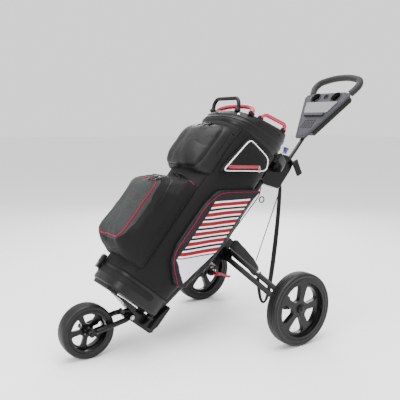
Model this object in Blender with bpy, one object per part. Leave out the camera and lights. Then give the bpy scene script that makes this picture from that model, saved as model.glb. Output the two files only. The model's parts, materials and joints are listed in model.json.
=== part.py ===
"""Golf bag on a three-wheel push cart: the frame, wheels, folding legs, brake, handle and bag.

Metres, +Z up. The ground is z = 0, the front wheel points to -Y, and +X is the cart's left.
"""

import math

import bmesh
import bpy
from mathutils import Euler, Matrix, Vector

# ---------------------------------------------------------------- driving dimensions
GAP = 0.0003            # clearance between pieces that touch
ORIGIN_Y = 0.1280       # moves the rear axle so that the whole object is centred on y = 0

REAR_RADIUS = 0.146
REAR_WIDTH = 0.056
HALF_TRACK = 0.3414
FRONT_RADIUS = 0.1026
FRONT_WIDTH = 0.0626
WHEELBASE = 0.744
AXLE_RADIUS = 0.006

LEAN = math.radians(50)          # slope of the bag's axis and of the main tube
BASE_Y, BASE_Z = -0.556, 0.170   # centre of the bag's base, from the rear axle
TUBE_RADIUS = 0.016
MAIN_TUBE_Y = 0.203              # main tube, behind the bag's axis
FRONT_TUBE_Y = 0.104             # front tube, where it passes the bag's base
FRONT_TUBE_SLOPE = 0.2333        # how much it moves back for each metre along the bag

HINGE_Y, HINGE_Z = 0.239, 0.696  # handle hinge, from the rear axle
HANDLE_LEAN = math.radians(48.5)
HANDLE_TUBE_RADIUS = 0.009

LEG_ROOT = Vector((0.050, -0.125, 0.318))   # left leg's inner pivot
LEG_END = Vector((0.285, -0.012, 0.155))    # left leg's outer pivot
PIN_SPREAD = 0.028                          # height between a leg's two pins
BAR_HEIGHT, BAR_THICK = 0.020, 0.014
PLATE_THICK = 0.005
BAR_SHIFT = PLATE_THICK / 2 + 0.0005 + BAR_THICK / 2

FORK_HINGE_Y, FORK_HINGE_Z = -0.580, 0.134
FORK_ARM_X, FORK_RADIUS = 0.0475, 0.0105

# The bag's body: height along its axis, half width, front and back.
BODY = (
    (0.0753, 0.128, -0.176, 0.081),
    (0.20, 0.134, -0.172, 0.105),
    (0.40, 0.142, -0.165, 0.132),
    (0.62, 0.148, -0.162, 0.140),
    (0.7995, 0.150, -0.165, 0.138),
)
FABRIC = 0.004
COLLAR_LOW, COLLAR_LOW_SLOPE = 0.800, 0.10
COLLAR_RIM, COLLAR_RIM_SLOPE = 0.900, 0.33

# ---------------------------------------------------------------- finishes
FINISHES = {
    "frame": ((0.012, 0.012, 0.013), 0.35, 0.6),
    "plastic": ((0.018, 0.018, 0.019), 0.45, 0.0),
    "tyre": ((0.014, 0.014, 0.014), 0.75, 0.0),
    "steel": ((0.55, 0.55, 0.57), 0.3, 1.0),
    "console": ((0.085, 0.085, 0.10), 0.4, 0.0),
    "card": ((0.35, 0.35, 0.37), 0.4, 0.0),
    "red": ((0.55, 0.01, 0.03), 0.4, 0.0),
    "purple": ((0.14, 0.11, 0.38), 0.4, 0.0),
    "fabric": ((0.013, 0.013, 0.014), 0.85, 0.0),
    "panel": ((0.045, 0.045, 0.047), 0.7, 0.0),
    "foam": ((0.03, 0.03, 0.03), 0.8, 0.0),
}


def finish(name):
    """The Principled material of one finish, made once."""
    if name in bpy.data.materials:
        return bpy.data.materials[name]
    colour, roughness, metallic = FINISHES[name]
    made = bpy.data.materials.new(name)
    made.use_nodes = True
    shader = made.node_tree.nodes["Principled BSDF"]
    shader.inputs["Base Color"].default_value = (*colour, 1)
    shader.inputs["Roughness"].default_value = roughness
    shader.inputs["Metallic"].default_value = metallic
    made.diffuse_color = (*colour, 1)
    return made


# ---------------------------------------------------------------- helpers
def empty(name, parent=None, location=(0, 0, 0), tilt=0.0):
    """An empty that carries pieces; tilt turns it about X."""
    made = bpy.data.objects.new(name, None)
    made.location = location
    made.rotation_euler = Euler((tilt, 0, 0))
    made.parent = parent
    bpy.context.scene.collection.objects.link(made)
    return made


def add(name, shape, finish_name, parent, location=(0, 0, 0), bevel=0.0, segments=1):
    """Makes the named object from a bmesh, with an optional bevel on its sharp edges."""
    bmesh.ops.recalc_face_normals(shape, faces=shape.faces)
    mesh = bpy.data.meshes.new(name)
    shape.to_mesh(mesh)
    shape.free()
    mesh.shade_smooth()
    mesh.set_sharp_from_angle(angle=math.radians(35))
    mesh.materials.append(finish(finish_name))
    made = bpy.data.objects.new(name, mesh)
    made.location = location
    made.parent = parent
    bpy.context.scene.collection.objects.link(made)
    if bevel:
        modifier = made.modifiers.new("Bevel", "BEVEL")
        modifier.width = bevel
        modifier.segments = segments
        modifier.limit_method = "ANGLE"
        modifier.angle_limit = math.radians(40)
    return made


def combine(target, shape, operation, parent=None):
    """Joins a bmesh to an object, or cuts it away, by a Boolean with a hidden operand."""
    tool = add(f"{target.name}_tool", shape, "plastic", parent or target.parent)
    tool.hide_render = True
    tool.display_type = "WIRE"
    if parent is None:
        tool.location = target.location
    modifier = target.modifiers.new(operation, "BOOLEAN")
    modifier.operation = operation
    modifier.solver = "EXACT"
    modifier.object = tool
    return tool


def box(low, high):
    """A box between two corners."""
    shape = bmesh.new()
    low, high = Vector(low), Vector(high)
    bmesh.ops.create_cube(shape, size=1)
    bmesh.ops.scale(shape, vec=high - low, verts=shape.verts)
    bmesh.ops.translate(shape, vec=(low + high) / 2, verts=shape.verts)
    return shape


def rod(start, end, radius, segments=24, end_radius=None):
    """A cylinder or cone frustum between two points."""
    start, end = Vector(start), Vector(end)
    axis = end - start
    turn = Vector((0, 0, 1)).rotation_difference(axis).to_matrix().to_4x4()
    place = Matrix.Translation((start + end) / 2) @ turn
    shape = bmesh.new()
    bmesh.ops.create_cone(
        shape, cap_ends=True, segments=segments, radius1=radius,
        radius2=radius if end_radius is None else end_radius, depth=axis.length, matrix=place,
    )
    return shape


def prism(outline, thick, to_world):
    """A flat outline pushed out by thick; to_world places its points (u, v, height)."""
    shape = bmesh.new()
    face = shape.faces.new([shape.verts.new((u, v, 0)) for u, v in outline])
    pushed = bmesh.ops.extrude_face_region(shape, geom=[face])["geom"]
    tops = [item for item in pushed if isinstance(item, bmesh.types.BMVert)]
    bmesh.ops.translate(shape, vec=(0, 0, thick), verts=tops)
    bmesh.ops.transform(shape, matrix=to_world, verts=shape.verts)
    return shape


def plane_x(x):
    """Places an outline of (y, z) points in the plane of that x, pushed towards +X."""
    return Matrix(((0, 0, 1, x), (1, 0, 0, 0), (0, 1, 0, 0), (0, 0, 0, 1)))


def plane_y(y):
    """Places an outline of (x, z) points in the plane of that y, pushed towards +Y."""
    return Matrix(((1, 0, 0, 0), (0, 0, 1, y), (0, 1, 0, 0), (0, 0, 0, 1)))


def rounded(corners, radius, steps=3):
    """The outline with a curve at each corner, cut back by radius or by that corner's own."""
    points = []
    count = len(corners)
    for i, corner in enumerate(corners):
        here = Vector(corner)
        back = radius if isinstance(radius, float) else radius[i]
        before = (Vector(corners[i - 1]) - here).normalized() * back
        after = (Vector(corners[(i + 1) % count]) - here).normalized() * back
        for step in range(steps + 1):
            t = step / steps
            points.append(tuple(here + before * (1 - t) ** 2 + after * t**2))
    return points


def turned(profile, steps):
    """A closed profile of (x, r) points turned about the X axis."""
    shape = bmesh.new()
    points = [shape.verts.new((x, 0, r)) for x, r in profile]
    edges = [shape.edges.new((points[i - 1], points[i])) for i in range(len(points))]
    bmesh.ops.spin(
        shape, geom=points + edges, cent=(0, 0, 0), axis=(1, 0, 0),
        angle=math.tau, steps=steps, use_merge=True,
    )
    return shape


def loft(rings, capped=True):
    """Skins rings of equal length; capped closes the ends, otherwise the last meets the first."""
    shape = bmesh.new()
    rows = [[shape.verts.new(point) for point in ring] for ring in rings]
    pairs = list(zip(rows, rows[1:]))
    if capped:
        shape.faces.new(rows[0])
        shape.faces.new(rows[-1])
    else:
        pairs.append((rows[-1], rows[0]))
    for low, high in pairs:
        for i in range(len(low)):
            shape.faces.new((low[i - 1], low[i], high[i], high[i - 1]))
    return shape


def oval(half_width, front, back, height, slope=0.0, power=3.0, count=36):
    """One section of the bag: a squared oval, level or sloping by slope along y."""
    middle, half_depth = (front + back) / 2, (back - front) / 2
    ring = []
    for i in range(count):
        angle = math.tau * i / count
        c, s = math.cos(angle), math.sin(angle)
        x = half_width * math.copysign(abs(c) ** (2 / power), c)
        y = middle + half_depth * math.copysign(abs(s) ** (2 / power), s)
        ring.append((x, y, height + slope * y))
    return ring


def slab(half_x, low_z, high_z, y, corner, count=4):
    """A rounded rectangle in x and z at depth y, as one ring of a pocket."""
    corners = [(half_x, low_z), (half_x, high_z), (-half_x, high_z), (-half_x, low_z)]
    return [(x, y, z) for x, z in rounded(corners, corner, count)]


def bent_tube(name, points, radius, finish_name, parent, sides=2, closed=False):
    """A tube through points, as a curve with a round bevel and filled ends."""
    curve = bpy.data.curves.new(name, "CURVE")
    curve.dimensions = "3D"
    curve.bevel_depth = radius
    curve.bevel_resolution = sides
    curve.use_fill_caps = True
    spline = curve.splines.new("POLY")
    spline.use_cyclic_u = closed
    spline.points.add(len(points) - 1)
    for place, point in zip(spline.points, points):
        place.co = (*point, 1)
    curve.materials.append(finish(finish_name))
    made = bpy.data.objects.new(name, curve)
    made.parent = parent
    bpy.context.scene.collection.objects.link(made)
    return made


def arc(centre, radius, start, end, steps, place):
    """Points on an arc in degrees; place turns (u, v) into a 3D point."""
    points = []
    for i in range(steps + 1):
        angle = math.radians(start + (end - start) * i / steps)
        points.append(place(centre[0] + radius * math.cos(angle), centre[1] + radius * math.sin(angle)))
    return points


# ---------------------------------------------------------------- wheels
def wheel(prefix, pivot, radius, width, tyre_inner, recess, web, hub, windows, phase):
    """A tyre and a spoked rim that turn about the X axis of their pivot."""
    half, shoulder = width / 2, 0.1 * width
    tyre = [
        (-half, tyre_inner), (-half, radius - 0.0085), (-half + shoulder, radius - 0.0018),
        (-half + 3 * shoulder, radius), (half - 3 * shoulder, radius),
        (half - shoulder, radius - 0.0018), (half, radius - 0.0085), (half, tyre_inner),
    ]
    add(f"{prefix}_tyre", turned(tyre, 36), "tyre", pivot)
    barrel = half - 0.002
    hub_low, hub_high, hub_radius = hub
    bore = AXLE_RADIUS + 0.0004
    rim = [
        (hub_low, bore), (hub_low, hub_radius), (-web, hub_radius + 0.003), (-web, recess - 0.003),
        (-barrel, recess), (-barrel, tyre_inner - GAP), (barrel, tyre_inner - GAP),
        (barrel, recess), (web, recess - 0.003), (web, hub_radius + 0.003),
        (hub_high, hub_radius), (hub_high, bore),
    ]
    rim_object = add(f"{prefix}_rim", turned(rim, 36), "plastic", pivot)
    inner, outer, inner_half, outer_half = windows
    corners = [
        (math.sin(-inner_half) * inner, math.cos(-inner_half) * inner),
        (math.sin(inner_half) * inner, math.cos(inner_half) * inner),
        (math.sin(outer_half) * outer, math.cos(outer_half) * outer),
        (0, outer * 1.04),
        (math.sin(-outer_half) * outer, math.cos(-outer_half) * outer),
    ]
    opening = rounded(corners, (0.2 * inner, 0.2 * inner, 0.16 * outer, 0.16 * outer, 0.16 * outer), 2)
    for i in range(5):
        cutter = prism(opening, 6 * web, plane_x(-3 * web))
        bmesh.ops.rotate(
            cutter, cent=(0, 0, 0), matrix=Matrix.Rotation(phase + math.tau * i / 5, 3, "X"), verts=cutter.verts
        )
        combine(rim_object, cutter, "DIFFERENCE", pivot)


def rear_wheel(side, pivot, sign):
    """One rear wheel with its hub cap; sign is +1 on the left."""
    wheel(
        side, pivot, REAR_RADIUS, REAR_WIDTH, 0.120, 0.109, 0.010,
        (-0.024, 0.012, 0.019) if sign > 0 else (-0.012, 0.024, 0.019),
        (0.036, 0.096, math.radians(18), math.radians(26)), math.radians(24),
    )
    cap = [(0.0125, 0.0), (0.0125, 0.017), (0.0175, 0.0155), (0.020, 0.008), (0.0205, 0.0)]
    ring = [[(sign * x, r * math.cos(math.tau * i / 24), r * math.sin(math.tau * i / 24)) for i in range(24)]
            for x, r in cap if r]
    add(f"{side}_hub_cap", loft(ring), "plastic", pivot)


# ---------------------------------------------------------------- rear legs
def leg_frame(sign):
    """The leg's plane: unit vectors along its level direction, across it, and up."""
    along = LEG_END - LEG_ROOT
    level = Vector((along.x, along.y, 0)).normalized()
    across = Vector((level.y, -level.x, 0))
    mirror = Vector((sign, 1, 1))
    return level * mirror, across * mirror, Vector((0, 0, 1))


def leg_place(sign, shift):
    """Places (level, up, height) in the leg's plane, pushed across by shift."""
    level, across, up = leg_frame(sign)
    place = Matrix.Identity(4)
    for column, axis in enumerate((level, up, across)):
        for row in range(3):
            place[row][column] = axis[row]
    offset = across * shift
    for row in range(3):
        place[row][3] = offset[row]
    return place


def capsule(length, radius, drop):
    """The outline of a bar with round ends, from (0, 0) to (length, -drop)."""
    slope = -math.atan2(drop, length)
    reach = math.hypot(length, drop)
    points = []
    for centre, start in ((reach, -90), (0.0, 90)):
        for i in range(9):
            angle = math.radians(start + 22.5 * i)
            u, v = centre + radius * math.cos(angle), radius * math.sin(angle)
            points.append((u * math.cos(slope) - v * math.sin(slope), u * math.sin(slope) + v * math.cos(slope)))
    return points


def leg(side, sign, frame):
    """One leg: two bars on shared pins, and the bracket that carries the wheel."""
    mirror = Vector((sign, 1, 1))
    along = LEG_END - LEG_ROOT
    length = math.hypot(along.x, along.y)
    across = leg_frame(sign)[1]
    half_pins = Vector((0, 0, PIN_SPREAD / 2))
    bars = (("upper", half_pins, -BAR_SHIFT), ("lower", -half_pins, BAR_SHIFT))
    for name, offset, shift in bars:
        root = LEG_ROOT * mirror + offset
        pivot = empty(f"{side}_{name}_bar_pivot", frame, root)
        bar = add(
            f"{side}_leg_{name}_bar",
            prism(capsule(length, BAR_HEIGHT / 2, -along.z), BAR_THICK, leg_place(sign, shift - BAR_THICK / 2)),
            "frame", pivot, bevel=0.0025, segments=2,
        )
        for centre in (Vector((0, 0, 0)), along * mirror):
            hole = rod(centre + across * (shift - 0.02), centre + across * (shift + 0.02), 0.0045, 16)
            combine(bar, hole, "DIFFERENCE", pivot)
    end = LEG_END * mirror
    bracket_pivot = empty(f"{side}_wheel_bracket_pivot", frame, end)
    outline = rounded([(-0.012, -0.026), (0.013, -0.026), (0.021, -0.018), (0.021, 0.004), (0.013, 0.026),
                       (-0.012, 0.026)], 0.004, 1)
    bracket = add(
        f"{side}_wheel_bracket", prism(outline, PLATE_THICK, leg_place(sign, -PLATE_THICK / 2)),
        "frame", bracket_pivot,
    )
    boss_centre = Vector((0, -LEG_END.y, REAR_RADIUS - LEG_END.z))
    inner = boss_centre + Vector((sign * (0.3000 - LEG_END.x), 0, 0))
    outer = boss_centre + Vector((sign * (0.3125 - LEG_END.x), 0, 0))
    combine(bracket, rod(inner, outer, 0.014), "UNION", bracket_pivot)
    leg_pins(bracket, bracket_pivot, Vector((0, 0, 0)), sign)
    reach = Vector((sign * 0.006, 0, 0))
    combine(bracket, rod(inner + reach, outer + reach, AXLE_RADIUS + GAP), "DIFFERENCE", bracket_pivot)
    stub = Vector((sign * (0.3062 - HALF_TRACK), 0, 0))
    wheel_pivot = empty(f"{side}_wheel_pivot", frame, (sign * HALF_TRACK, 0, REAR_RADIUS))
    add(f"{side}_rear_axle", rod(stub, (sign * 0.0120, 0, 0), AXLE_RADIUS, 20), "steel", wheel_pivot)
    rear_wheel(side, wheel_pivot, sign)


def leg_pins(plate, parent, centre, sign):
    """Riveted pins on a plate: the upper one holds the rear bar and the lower one the front bar."""
    across = leg_frame(sign)[1]
    for height, way in ((PIN_SPREAD / 2, -1), (-PIN_SPREAD / 2, 1)):
        at = centre + Vector((0, 0, height))
        reach = PLATE_THICK / 2 + 0.001 + BAR_THICK
        combine(plate, rod(at, at + across * way * (reach + 0.003), 0.004, 16), "UNION", parent)
        head = rod(at + across * way * (reach + 0.0003), at + across * way * (reach + 0.0035), 0.008, 16)
        combine(plate, head, "UNION", parent)


def leg_hub(frame, lean):
    """The block that joins both tubes and carries the legs' inner pins."""
    hub = add("leg_hub", box((-0.026, 0.158, 0.325), (0.026, 0.236, 0.455)), "plastic", lean)
    for sign in (1, -1):
        outline = rounded([(-0.045, -0.022), (0.006, -0.028), (0.013, -0.020), (0.013, 0.020),
                           (0.006, 0.028), (-0.045, 0.022)], 0.004, 1)
        ear = prism(outline, PLATE_THICK, leg_place(sign, -PLATE_THICK / 2))
        centre = LEG_ROOT * Vector((sign, 1, 1))
        bmesh.ops.translate(ear, vec=centre, verts=ear.verts)
        combine(hub, ear, "UNION", frame)
        leg_pins(hub, frame, centre, sign)
    combine(hub, rod((0, MAIN_TUBE_Y, 0.3997), (0, MAIN_TUBE_Y, 0.47), TUBE_RADIUS + GAP), "DIFFERENCE")
    low, high = front_tube_at(0.31), front_tube_at(0.3753)
    combine(hub, rod(low, high, TUBE_RADIUS + GAP), "DIFFERENCE")


# ---------------------------------------------------------------- frame
def front_tube_at(height):
    """The front tube's centre at a height along the bag's axis."""
    return Vector((0, FRONT_TUBE_Y + FRONT_TUBE_SLOPE * height, height))


def tubes(lean):
    """The main tube, up to the handle, and the front tube, down to the bag's cradle."""
    add("main_tube", rod((0, MAIN_TUBE_Y, 0.400), (0, MAIN_TUBE_Y, 0.800), TUBE_RADIUS), "frame", lean)
    add("front_tube", rod(front_tube_at(-0.034), front_tube_at(0.375), TUBE_RADIUS), "frame", lean)


def lower_bracket(lean):
    """The cradle under the bag, with a lug for the fork and a socket for the front tube."""
    outline = [
        (-0.076, -0.003), (-0.076, -0.010), (0.020, -0.031), (0.024, -0.056), (0.125, -0.056),
        (0.135, -0.046), (0.135, -0.003), (0.050, -0.003), (0.044, -0.017), (0.014, -0.017), (0.008, -0.003),
    ]
    cradle = add("lower_bracket", prism(outline, 0.060, plane_x(-0.030)), "plastic", lean)
    low, high = (-0.072, 0.050, -0.0125), (0.072, 0.082, -0.003)
    combine(cradle, box(low, high), "UNION")
    combine(cradle, box((-0.060, -0.072, -0.0098), (0.060, -0.030, -0.0032)), "UNION")
    hinge = to_lean(FORK_HINGE_Y, FORK_HINGE_Z)
    across = Vector((0.0135, 0, 0))
    combine(cradle, rod(hinge - across, hinge + across, 0.017), "UNION")
    lug = [(hinge.y - 0.012, hinge.z + 0.010), (hinge.y, hinge.z - 0.0165), (0.040, -0.054), (0.040, -0.026),
           (hinge.y + 0.004, -0.024)]
    combine(cradle, prism(lug, 0.027, plane_x(-0.0135)), "UNION")
    combine(cradle, rod(hinge - 2 * across, hinge + 2 * across, FORK_RADIUS + GAP), "DIFFERENCE")
    combine(cradle, rod(front_tube_at(-0.0343), front_tube_at(0.01), TUBE_RADIUS + GAP), "DIFFERENCE")
    for side, sign in (("left", 1), ("right", -1)):
        post = [(0.0830, -0.045), (0.094, -0.045), (0.106, -0.020), (0.110, 0.066), (0.098, 0.070), (0.0830, 0.020)]
        start = 0.050 if sign > 0 else -0.084
        add(f"{side}_cradle_arm", prism(post, 0.034, plane_x(start)), "plastic", lean, bevel=0.003)


def to_lean(y, z):
    """A point of the cart's centre plane in the leaning frame of the bag."""
    dy, dz = y - BASE_Y, z - BASE_Z
    s, c = math.sin(LEAN), math.cos(LEAN)
    return Vector((0, dy * s - dz * c, dy * c + dz * s))


def upper_housing(lean):
    """The moulding at the top of the main tube, with the handle's clevis and the bag's arms."""
    outline = rounded([(0.180, 0.752), (0.210, 0.740), (0.292, 0.775), (0.292, 0.880), (0.284, 0.920),
                       (0.240, 0.922), (0.180, 0.890)], 0.010, 2)
    housing = add("upper_housing", prism(outline, 0.056, plane_x(-0.028)), "plastic", lean, bevel=0.003)
    combine(housing, rod((0, MAIN_TUBE_Y, 0.73), (0, MAIN_TUBE_Y, 0.8003), TUBE_RADIUS + GAP), "DIFFERENCE")
    hinge = to_lean(HINGE_Y, HINGE_Z)
    low = (-0.0118, hinge.y - 0.020, hinge.z - 0.022)
    combine(housing, box(low, (0.0118, 0.320, 0.960)), "DIFFERENCE")
    bolt = Vector((0.045, 0, 0))
    combine(housing, rod(hinge - bolt, hinge + bolt, 0.0045, 16), "DIFFERENCE")
    for side, sign in (("left", 1), ("right", -1)):
        sweep = [(sign * 0.0283, 0.190), (sign * 0.0283, 0.225), (sign * 0.075, 0.215), (sign * 0.118, 0.175),
                 (sign * 0.135, 0.120), (sign * 0.126, 0.1155), (sign * 0.106, 0.158), (sign * 0.070, 0.185)]
        arm_shape = prism(sweep, 0.034, Matrix.Translation((0, 0, 0.815)))
        add(f"{side}_bag_arm", arm_shape, "plastic", lean, bevel=0.003)
    add("hinge_bolt", rod(hinge - Vector((0.036, 0, 0)), hinge + Vector((0.0350, 0, 0)), 0.0042, 16), "steel", lean)
    return hinge


def clamp_lever(frame):
    """The cam lever beside the handle's hinge; it swings out about a pin across its length."""
    pivot = empty("clamp_lever_pivot", frame, (0.0415, HINGE_Y + 0.004, HINGE_Z - 0.001), math.radians(27))
    lever = add("clamp_lever", box((-0.0055, -0.014, -0.066), (0.0080, 0.014, 0.0)), "plastic", pivot,
                bevel=0.003, segments=2)
    combine(lever, rod((0, -0.016, 0), (0, 0.016, 0), 0.0062, 16), "UNION")


def tension_knob(frame):
    """The coloured knob on top of the housing."""
    at = lean_to_cart(0.2305, 0.9270)
    pivot = empty("tension_knob_pivot", frame, at, math.radians(-26))
    profile = [(0.0002, 0.0105), (0.006, 0.0095), (0.016, 0.010), (0.024, 0.014), (0.027, 0.0135)]
    rings = [[(r * math.cos(math.tau * i / 24), r * math.sin(math.tau * i / 24), z) for i in range(24)]
             for z, r in profile]
    add("tension_knob", loft(rings), "purple", pivot)


def lean_to_cart(y, z):
    """A point of the leaning frame's centre plane, measured from the rear axle."""
    s, c = math.sin(LEAN), math.cos(LEAN)
    return Vector((0, BASE_Y + y * s + z * c, BASE_Z - y * c + z * s))


# ---------------------------------------------------------------- front wheel and fork
def front_end(frame):
    """The fork, bent from one tube round the front wheel, with its plates, axle and wheel."""
    hinge = empty("fork_hinge", frame, (0, FORK_HINGE_Y, FORK_HINGE_Z))
    axle_y, axle_z = -WHEELBASE - FORK_HINGE_Y, FRONT_RADIUS - FORK_HINGE_Z
    slope = axle_z / axle_y
    straight = 0.032
    corner = FORK_ARM_X - 0.0155
    end_y = axle_y + 0.022

    def along(x, distance):
        return (x, -distance, -distance * slope)

    left = [along(FORK_ARM_X, -end_y), along(FORK_ARM_X, 0.08)]
    left += arc((0.0155, corner), corner, 0, -90, 6, lambda u, v: along(u, v))
    right = [(-x, y, z) for x, y, z in reversed(left)]
    fork = bent_tube("front_fork", left + right, FORK_RADIUS, "frame", hinge, sides=2)
    fork.data.resolution_u = 1
    wheel_pivot = empty("front_wheel_pivot", frame, (0, -WHEELBASE, FRONT_RADIUS))
    wheel(
        "front", wheel_pivot, FRONT_RADIUS, FRONT_WIDTH, 0.0790, 0.0700, 0.006,
        (-0.0300, 0.0300, 0.0150), (0.026, 0.063, math.radians(18), math.radians(26)), math.radians(-13),
    )
    reach = math.hypot(axle_y, axle_z) - math.hypot(end_y, end_y * slope) + straight
    for side, sign in (("left", 1), ("right", -1)):
        outline = capsule(reach, 0.0115, 0)
        plate = prism(outline, 0.0030, plane_x(0.0334 if sign > 0 else -0.0364))
        bmesh.ops.rotate(plate, cent=(0, 0, 0), matrix=Matrix.Rotation(math.atan(slope), 3, "X"), verts=plate.verts)
        plate_object = add(f"{side}_fork_plate", plate, "steel", hinge, (0, axle_y, axle_z))
        combine(plate_object, rod((-0.06, 0, 0), (0.06, 0, 0), AXLE_RADIUS + GAP), "DIFFERENCE")
    add("front_axle", rod((-0.056, axle_y, axle_z), (0.056, axle_y, axle_z), AXLE_RADIUS, 20), "steel", hinge)
    return straight


# ---------------------------------------------------------------- handle
def handle(frame):
    """The handle, which turns about its hinge: tube, console, cups, card lid and grip."""
    hinge = empty("handle_hinge", frame, (0, HINGE_Y, HINGE_Z), HANDLE_LEAN - math.pi / 2)
    tube = add("handle_tube", rod((0, 0, -0.002), (0, 0, 0.1644), HANDLE_TUBE_RADIUS), "frame", hinge)
    combine(tube, rod((-0.0110, 0, 0), (0.0110, 0, 0), 0.0145), "UNION")
    combine(tube, rod((-0.03, 0, 0), (0.03, 0, 0), 0.0046, 16), "DIFFERENCE")
    outline = [(-0.028, 0.125), (0.028, 0.125), (0.058, 0.190), (0.139, 0.372), (0.132, 0.391), (0.100, 0.399),
               (-0.100, 0.399), (-0.132, 0.391), (-0.139, 0.372), (-0.058, 0.190)]
    top = add("console_top", prism(outline, 0.0125, plane_y(-0.0220)), "console", hinge, bevel=0.002)
    for sign in (1, -1):
        combine(top, rod((sign * 0.063, -0.05, 0.370), (sign * 0.063, 0.05, 0.370), 0.0240), "DIFFERENCE")
    outline = [(-0.045, 0.165), (0.045, 0.165), (0.134, 0.368), (0.128, 0.386), (0.112, 0.386), (0.096, 0.336),
               (-0.096, 0.336), (-0.112, 0.386), (-0.128, 0.386), (-0.134, 0.368)]
    add("console_tray", prism(outline, 0.0250, plane_y(-0.0092)), "plastic", hinge, bevel=0.003)
    for side, sign in (("left", 1), ("right", -1)):
        cup = add(f"{side}_ball_cup", rod((sign * 0.063, -0.0092, 0.370), (sign * 0.063, 0.040, 0.370), 0.0285,
                                          end_radius=0.0225), "plastic", hinge)
        combine(cup, rod((sign * 0.063, -0.02, 0.370), (sign * 0.063, 0.0370, 0.370), 0.0250, end_radius=0.0195),
                "DIFFERENCE")
    lid_pivot = empty("card_lid_pivot", hinge, (0, -0.0243, 0.338))
    outline = rounded([(-0.072, -0.066), (0.072, -0.066), (0.098, 0.0), (-0.098, 0.0)], 0.006, 2)
    add("card_lid", prism(outline, 0.0040, plane_y(-0.0020)), "card", lid_pivot)
    clip = rounded([(-0.060, 0.2525), (0.060, 0.2525), (0.064, 0.268), (-0.064, 0.268)], 0.004, 1)
    combine(top, prism(clip, 0.0100, plane_y(-0.0303)), "UNION")
    grip(hinge)


def grip(hinge):
    """The padded loop at the top of the handle."""
    def place(u, v):
        return (u, -0.004, v)

    half = [(0.116, -0.004, 0.4030), (0.126, -0.004, 0.418)]
    half += arc((0.091, 0.452), 0.045, -12, 62, 5, place)
    half += [(0.070, -0.004, 0.505), (0.035, -0.004, 0.511)]
    points = half + [(0, -0.004, 0.512)] + [(-x, y, z) for x, y, z in reversed(half)]
    bent_tube("handle_grip", points, 0.0155, "foam", hinge, sides=3)


# ---------------------------------------------------------------- brake
def brake(frame):
    """The foot brake on the right wheel's bracket: housing with a hinge pin, pedal and locking pin."""
    mount = empty("brake_mount", frame, (-0.3000, 0, REAR_RADIUS))
    outline = [(0.0143, -0.022), (0.046, -0.022), (0.046, 0.018), (0.0143, 0.018)]
    housing = add("brake_housing", prism(rounded(outline, 0.005, 2), 0.026, plane_x(-0.0130)), "plastic", mount,
                  bevel=0.002)
    combine(housing, rod((0.0, 0.034, -0.007), (0.0465, 0.034, -0.007), 0.0035, 16), "UNION")
    combine(housing, rod((-0.02, 0.030, 0.0085), (0.03, 0.030, 0.0085), 0.0043, 16), "DIFFERENCE")
    add("brake_pin", rod((-0.0080, 0.030, 0.0085), (0.0180, 0.030, 0.0085), 0.0040, 16), "steel", mount)
    pivot = empty("brake_pedal_pivot", frame, (-0.2700, 0.034, REAR_RADIUS - 0.007))
    shape = [(-0.007, -0.004), (-0.003, -0.0075), (0.030, -0.012), (0.068, -0.030), (0.082, -0.027), (0.084, -0.020),
             (0.066, -0.018), (0.030, 0.001), (0.003, 0.0075), (-0.004, 0.007)]
    pedal = add("brake_pedal", prism(shape, 0.032, plane_x(-0.0160)), "red", pivot, bevel=0.0015)
    combine(pedal, rod((-0.02, 0, 0), (0.02, 0, 0), 0.0038, 16), "DIFFERENCE")


# ---------------------------------------------------------------- bag
def body_cutter(margin):
    """The bag's outer body, grown by margin, for cutting a pocket to lie against it."""
    levels = [(-0.05, *BODY[0][1:]), *BODY, (0.96, *BODY[-1][1:])]
    return loft([oval(a + margin, front - margin, back + margin, z) for z, a, front, back in levels])


def bag_body(lean):
    """The moulded base with its foot, the fabric body, and the collar round the mouth."""
    wall = 0.006
    z0, a, front, back = BODY[0]
    outer = [oval(a - 0.006, front + 0.006, back - 0.006, 0.003), oval(a, front, back, 0.009),
             oval(a, front, back, z0 - GAP)]
    inner = [oval(a - wall, front + wall, back - wall, z0 - GAP), oval(a - wall, front + wall, back - wall, 0.014)]
    base = add("bag_base", loft(outer + inner), "plastic", lean)
    foot = rounded([(-0.060, -0.168), (0.060, -0.168), (0.060, -0.108), (-0.060, -0.108)], 0.008, 2)
    combine(base, prism(foot, 0.0130, Matrix.Translation((0, 0, -0.0085))), "UNION")

    outer = [oval(a, front, back, z) for z, a, front, back in BODY[:-1]]
    inner = [oval(a - FABRIC, front + FABRIC, back - FABRIC, z) for z, a, front, back in BODY[:-1]]
    z, a, front, back = BODY[-1]
    outer.append(oval(a, front, back, z, COLLAR_LOW_SLOPE))
    inner.append(oval(a - FABRIC, front + FABRIC, back - FABRIC, z, COLLAR_LOW_SLOPE))
    add("bag_body", loft(outer + inner[::-1], capped=False), "fabric", lean)

    levels = ((0.0, 0.1505, -0.1655, 0.1385), (0.25, 0.153, -0.167, 0.142), (0.7, 0.149, -0.162, 0.138),
              (1.0, 0.140, -0.151, 0.128))
    rings = []
    for t, a, front, back in levels:
        height = COLLAR_LOW + t * (COLLAR_RIM - COLLAR_LOW)
        slope = COLLAR_LOW_SLOPE + t * (COLLAR_RIM_SLOPE - COLLAR_LOW_SLOPE)
        rings.append(oval(a, front, back, height, slope))
    wall = 0.012
    inner = [oval(0.140 - wall, -0.151 + wall, 0.128 - wall, COLLAR_RIM, COLLAR_RIM_SLOPE),
             oval(0.140 - wall, -0.151 + wall, 0.128 - wall, COLLAR_LOW, COLLAR_LOW_SLOPE)]
    add("bag_collar", loft(rings + inner, capped=False), "plastic", lean)


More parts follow.
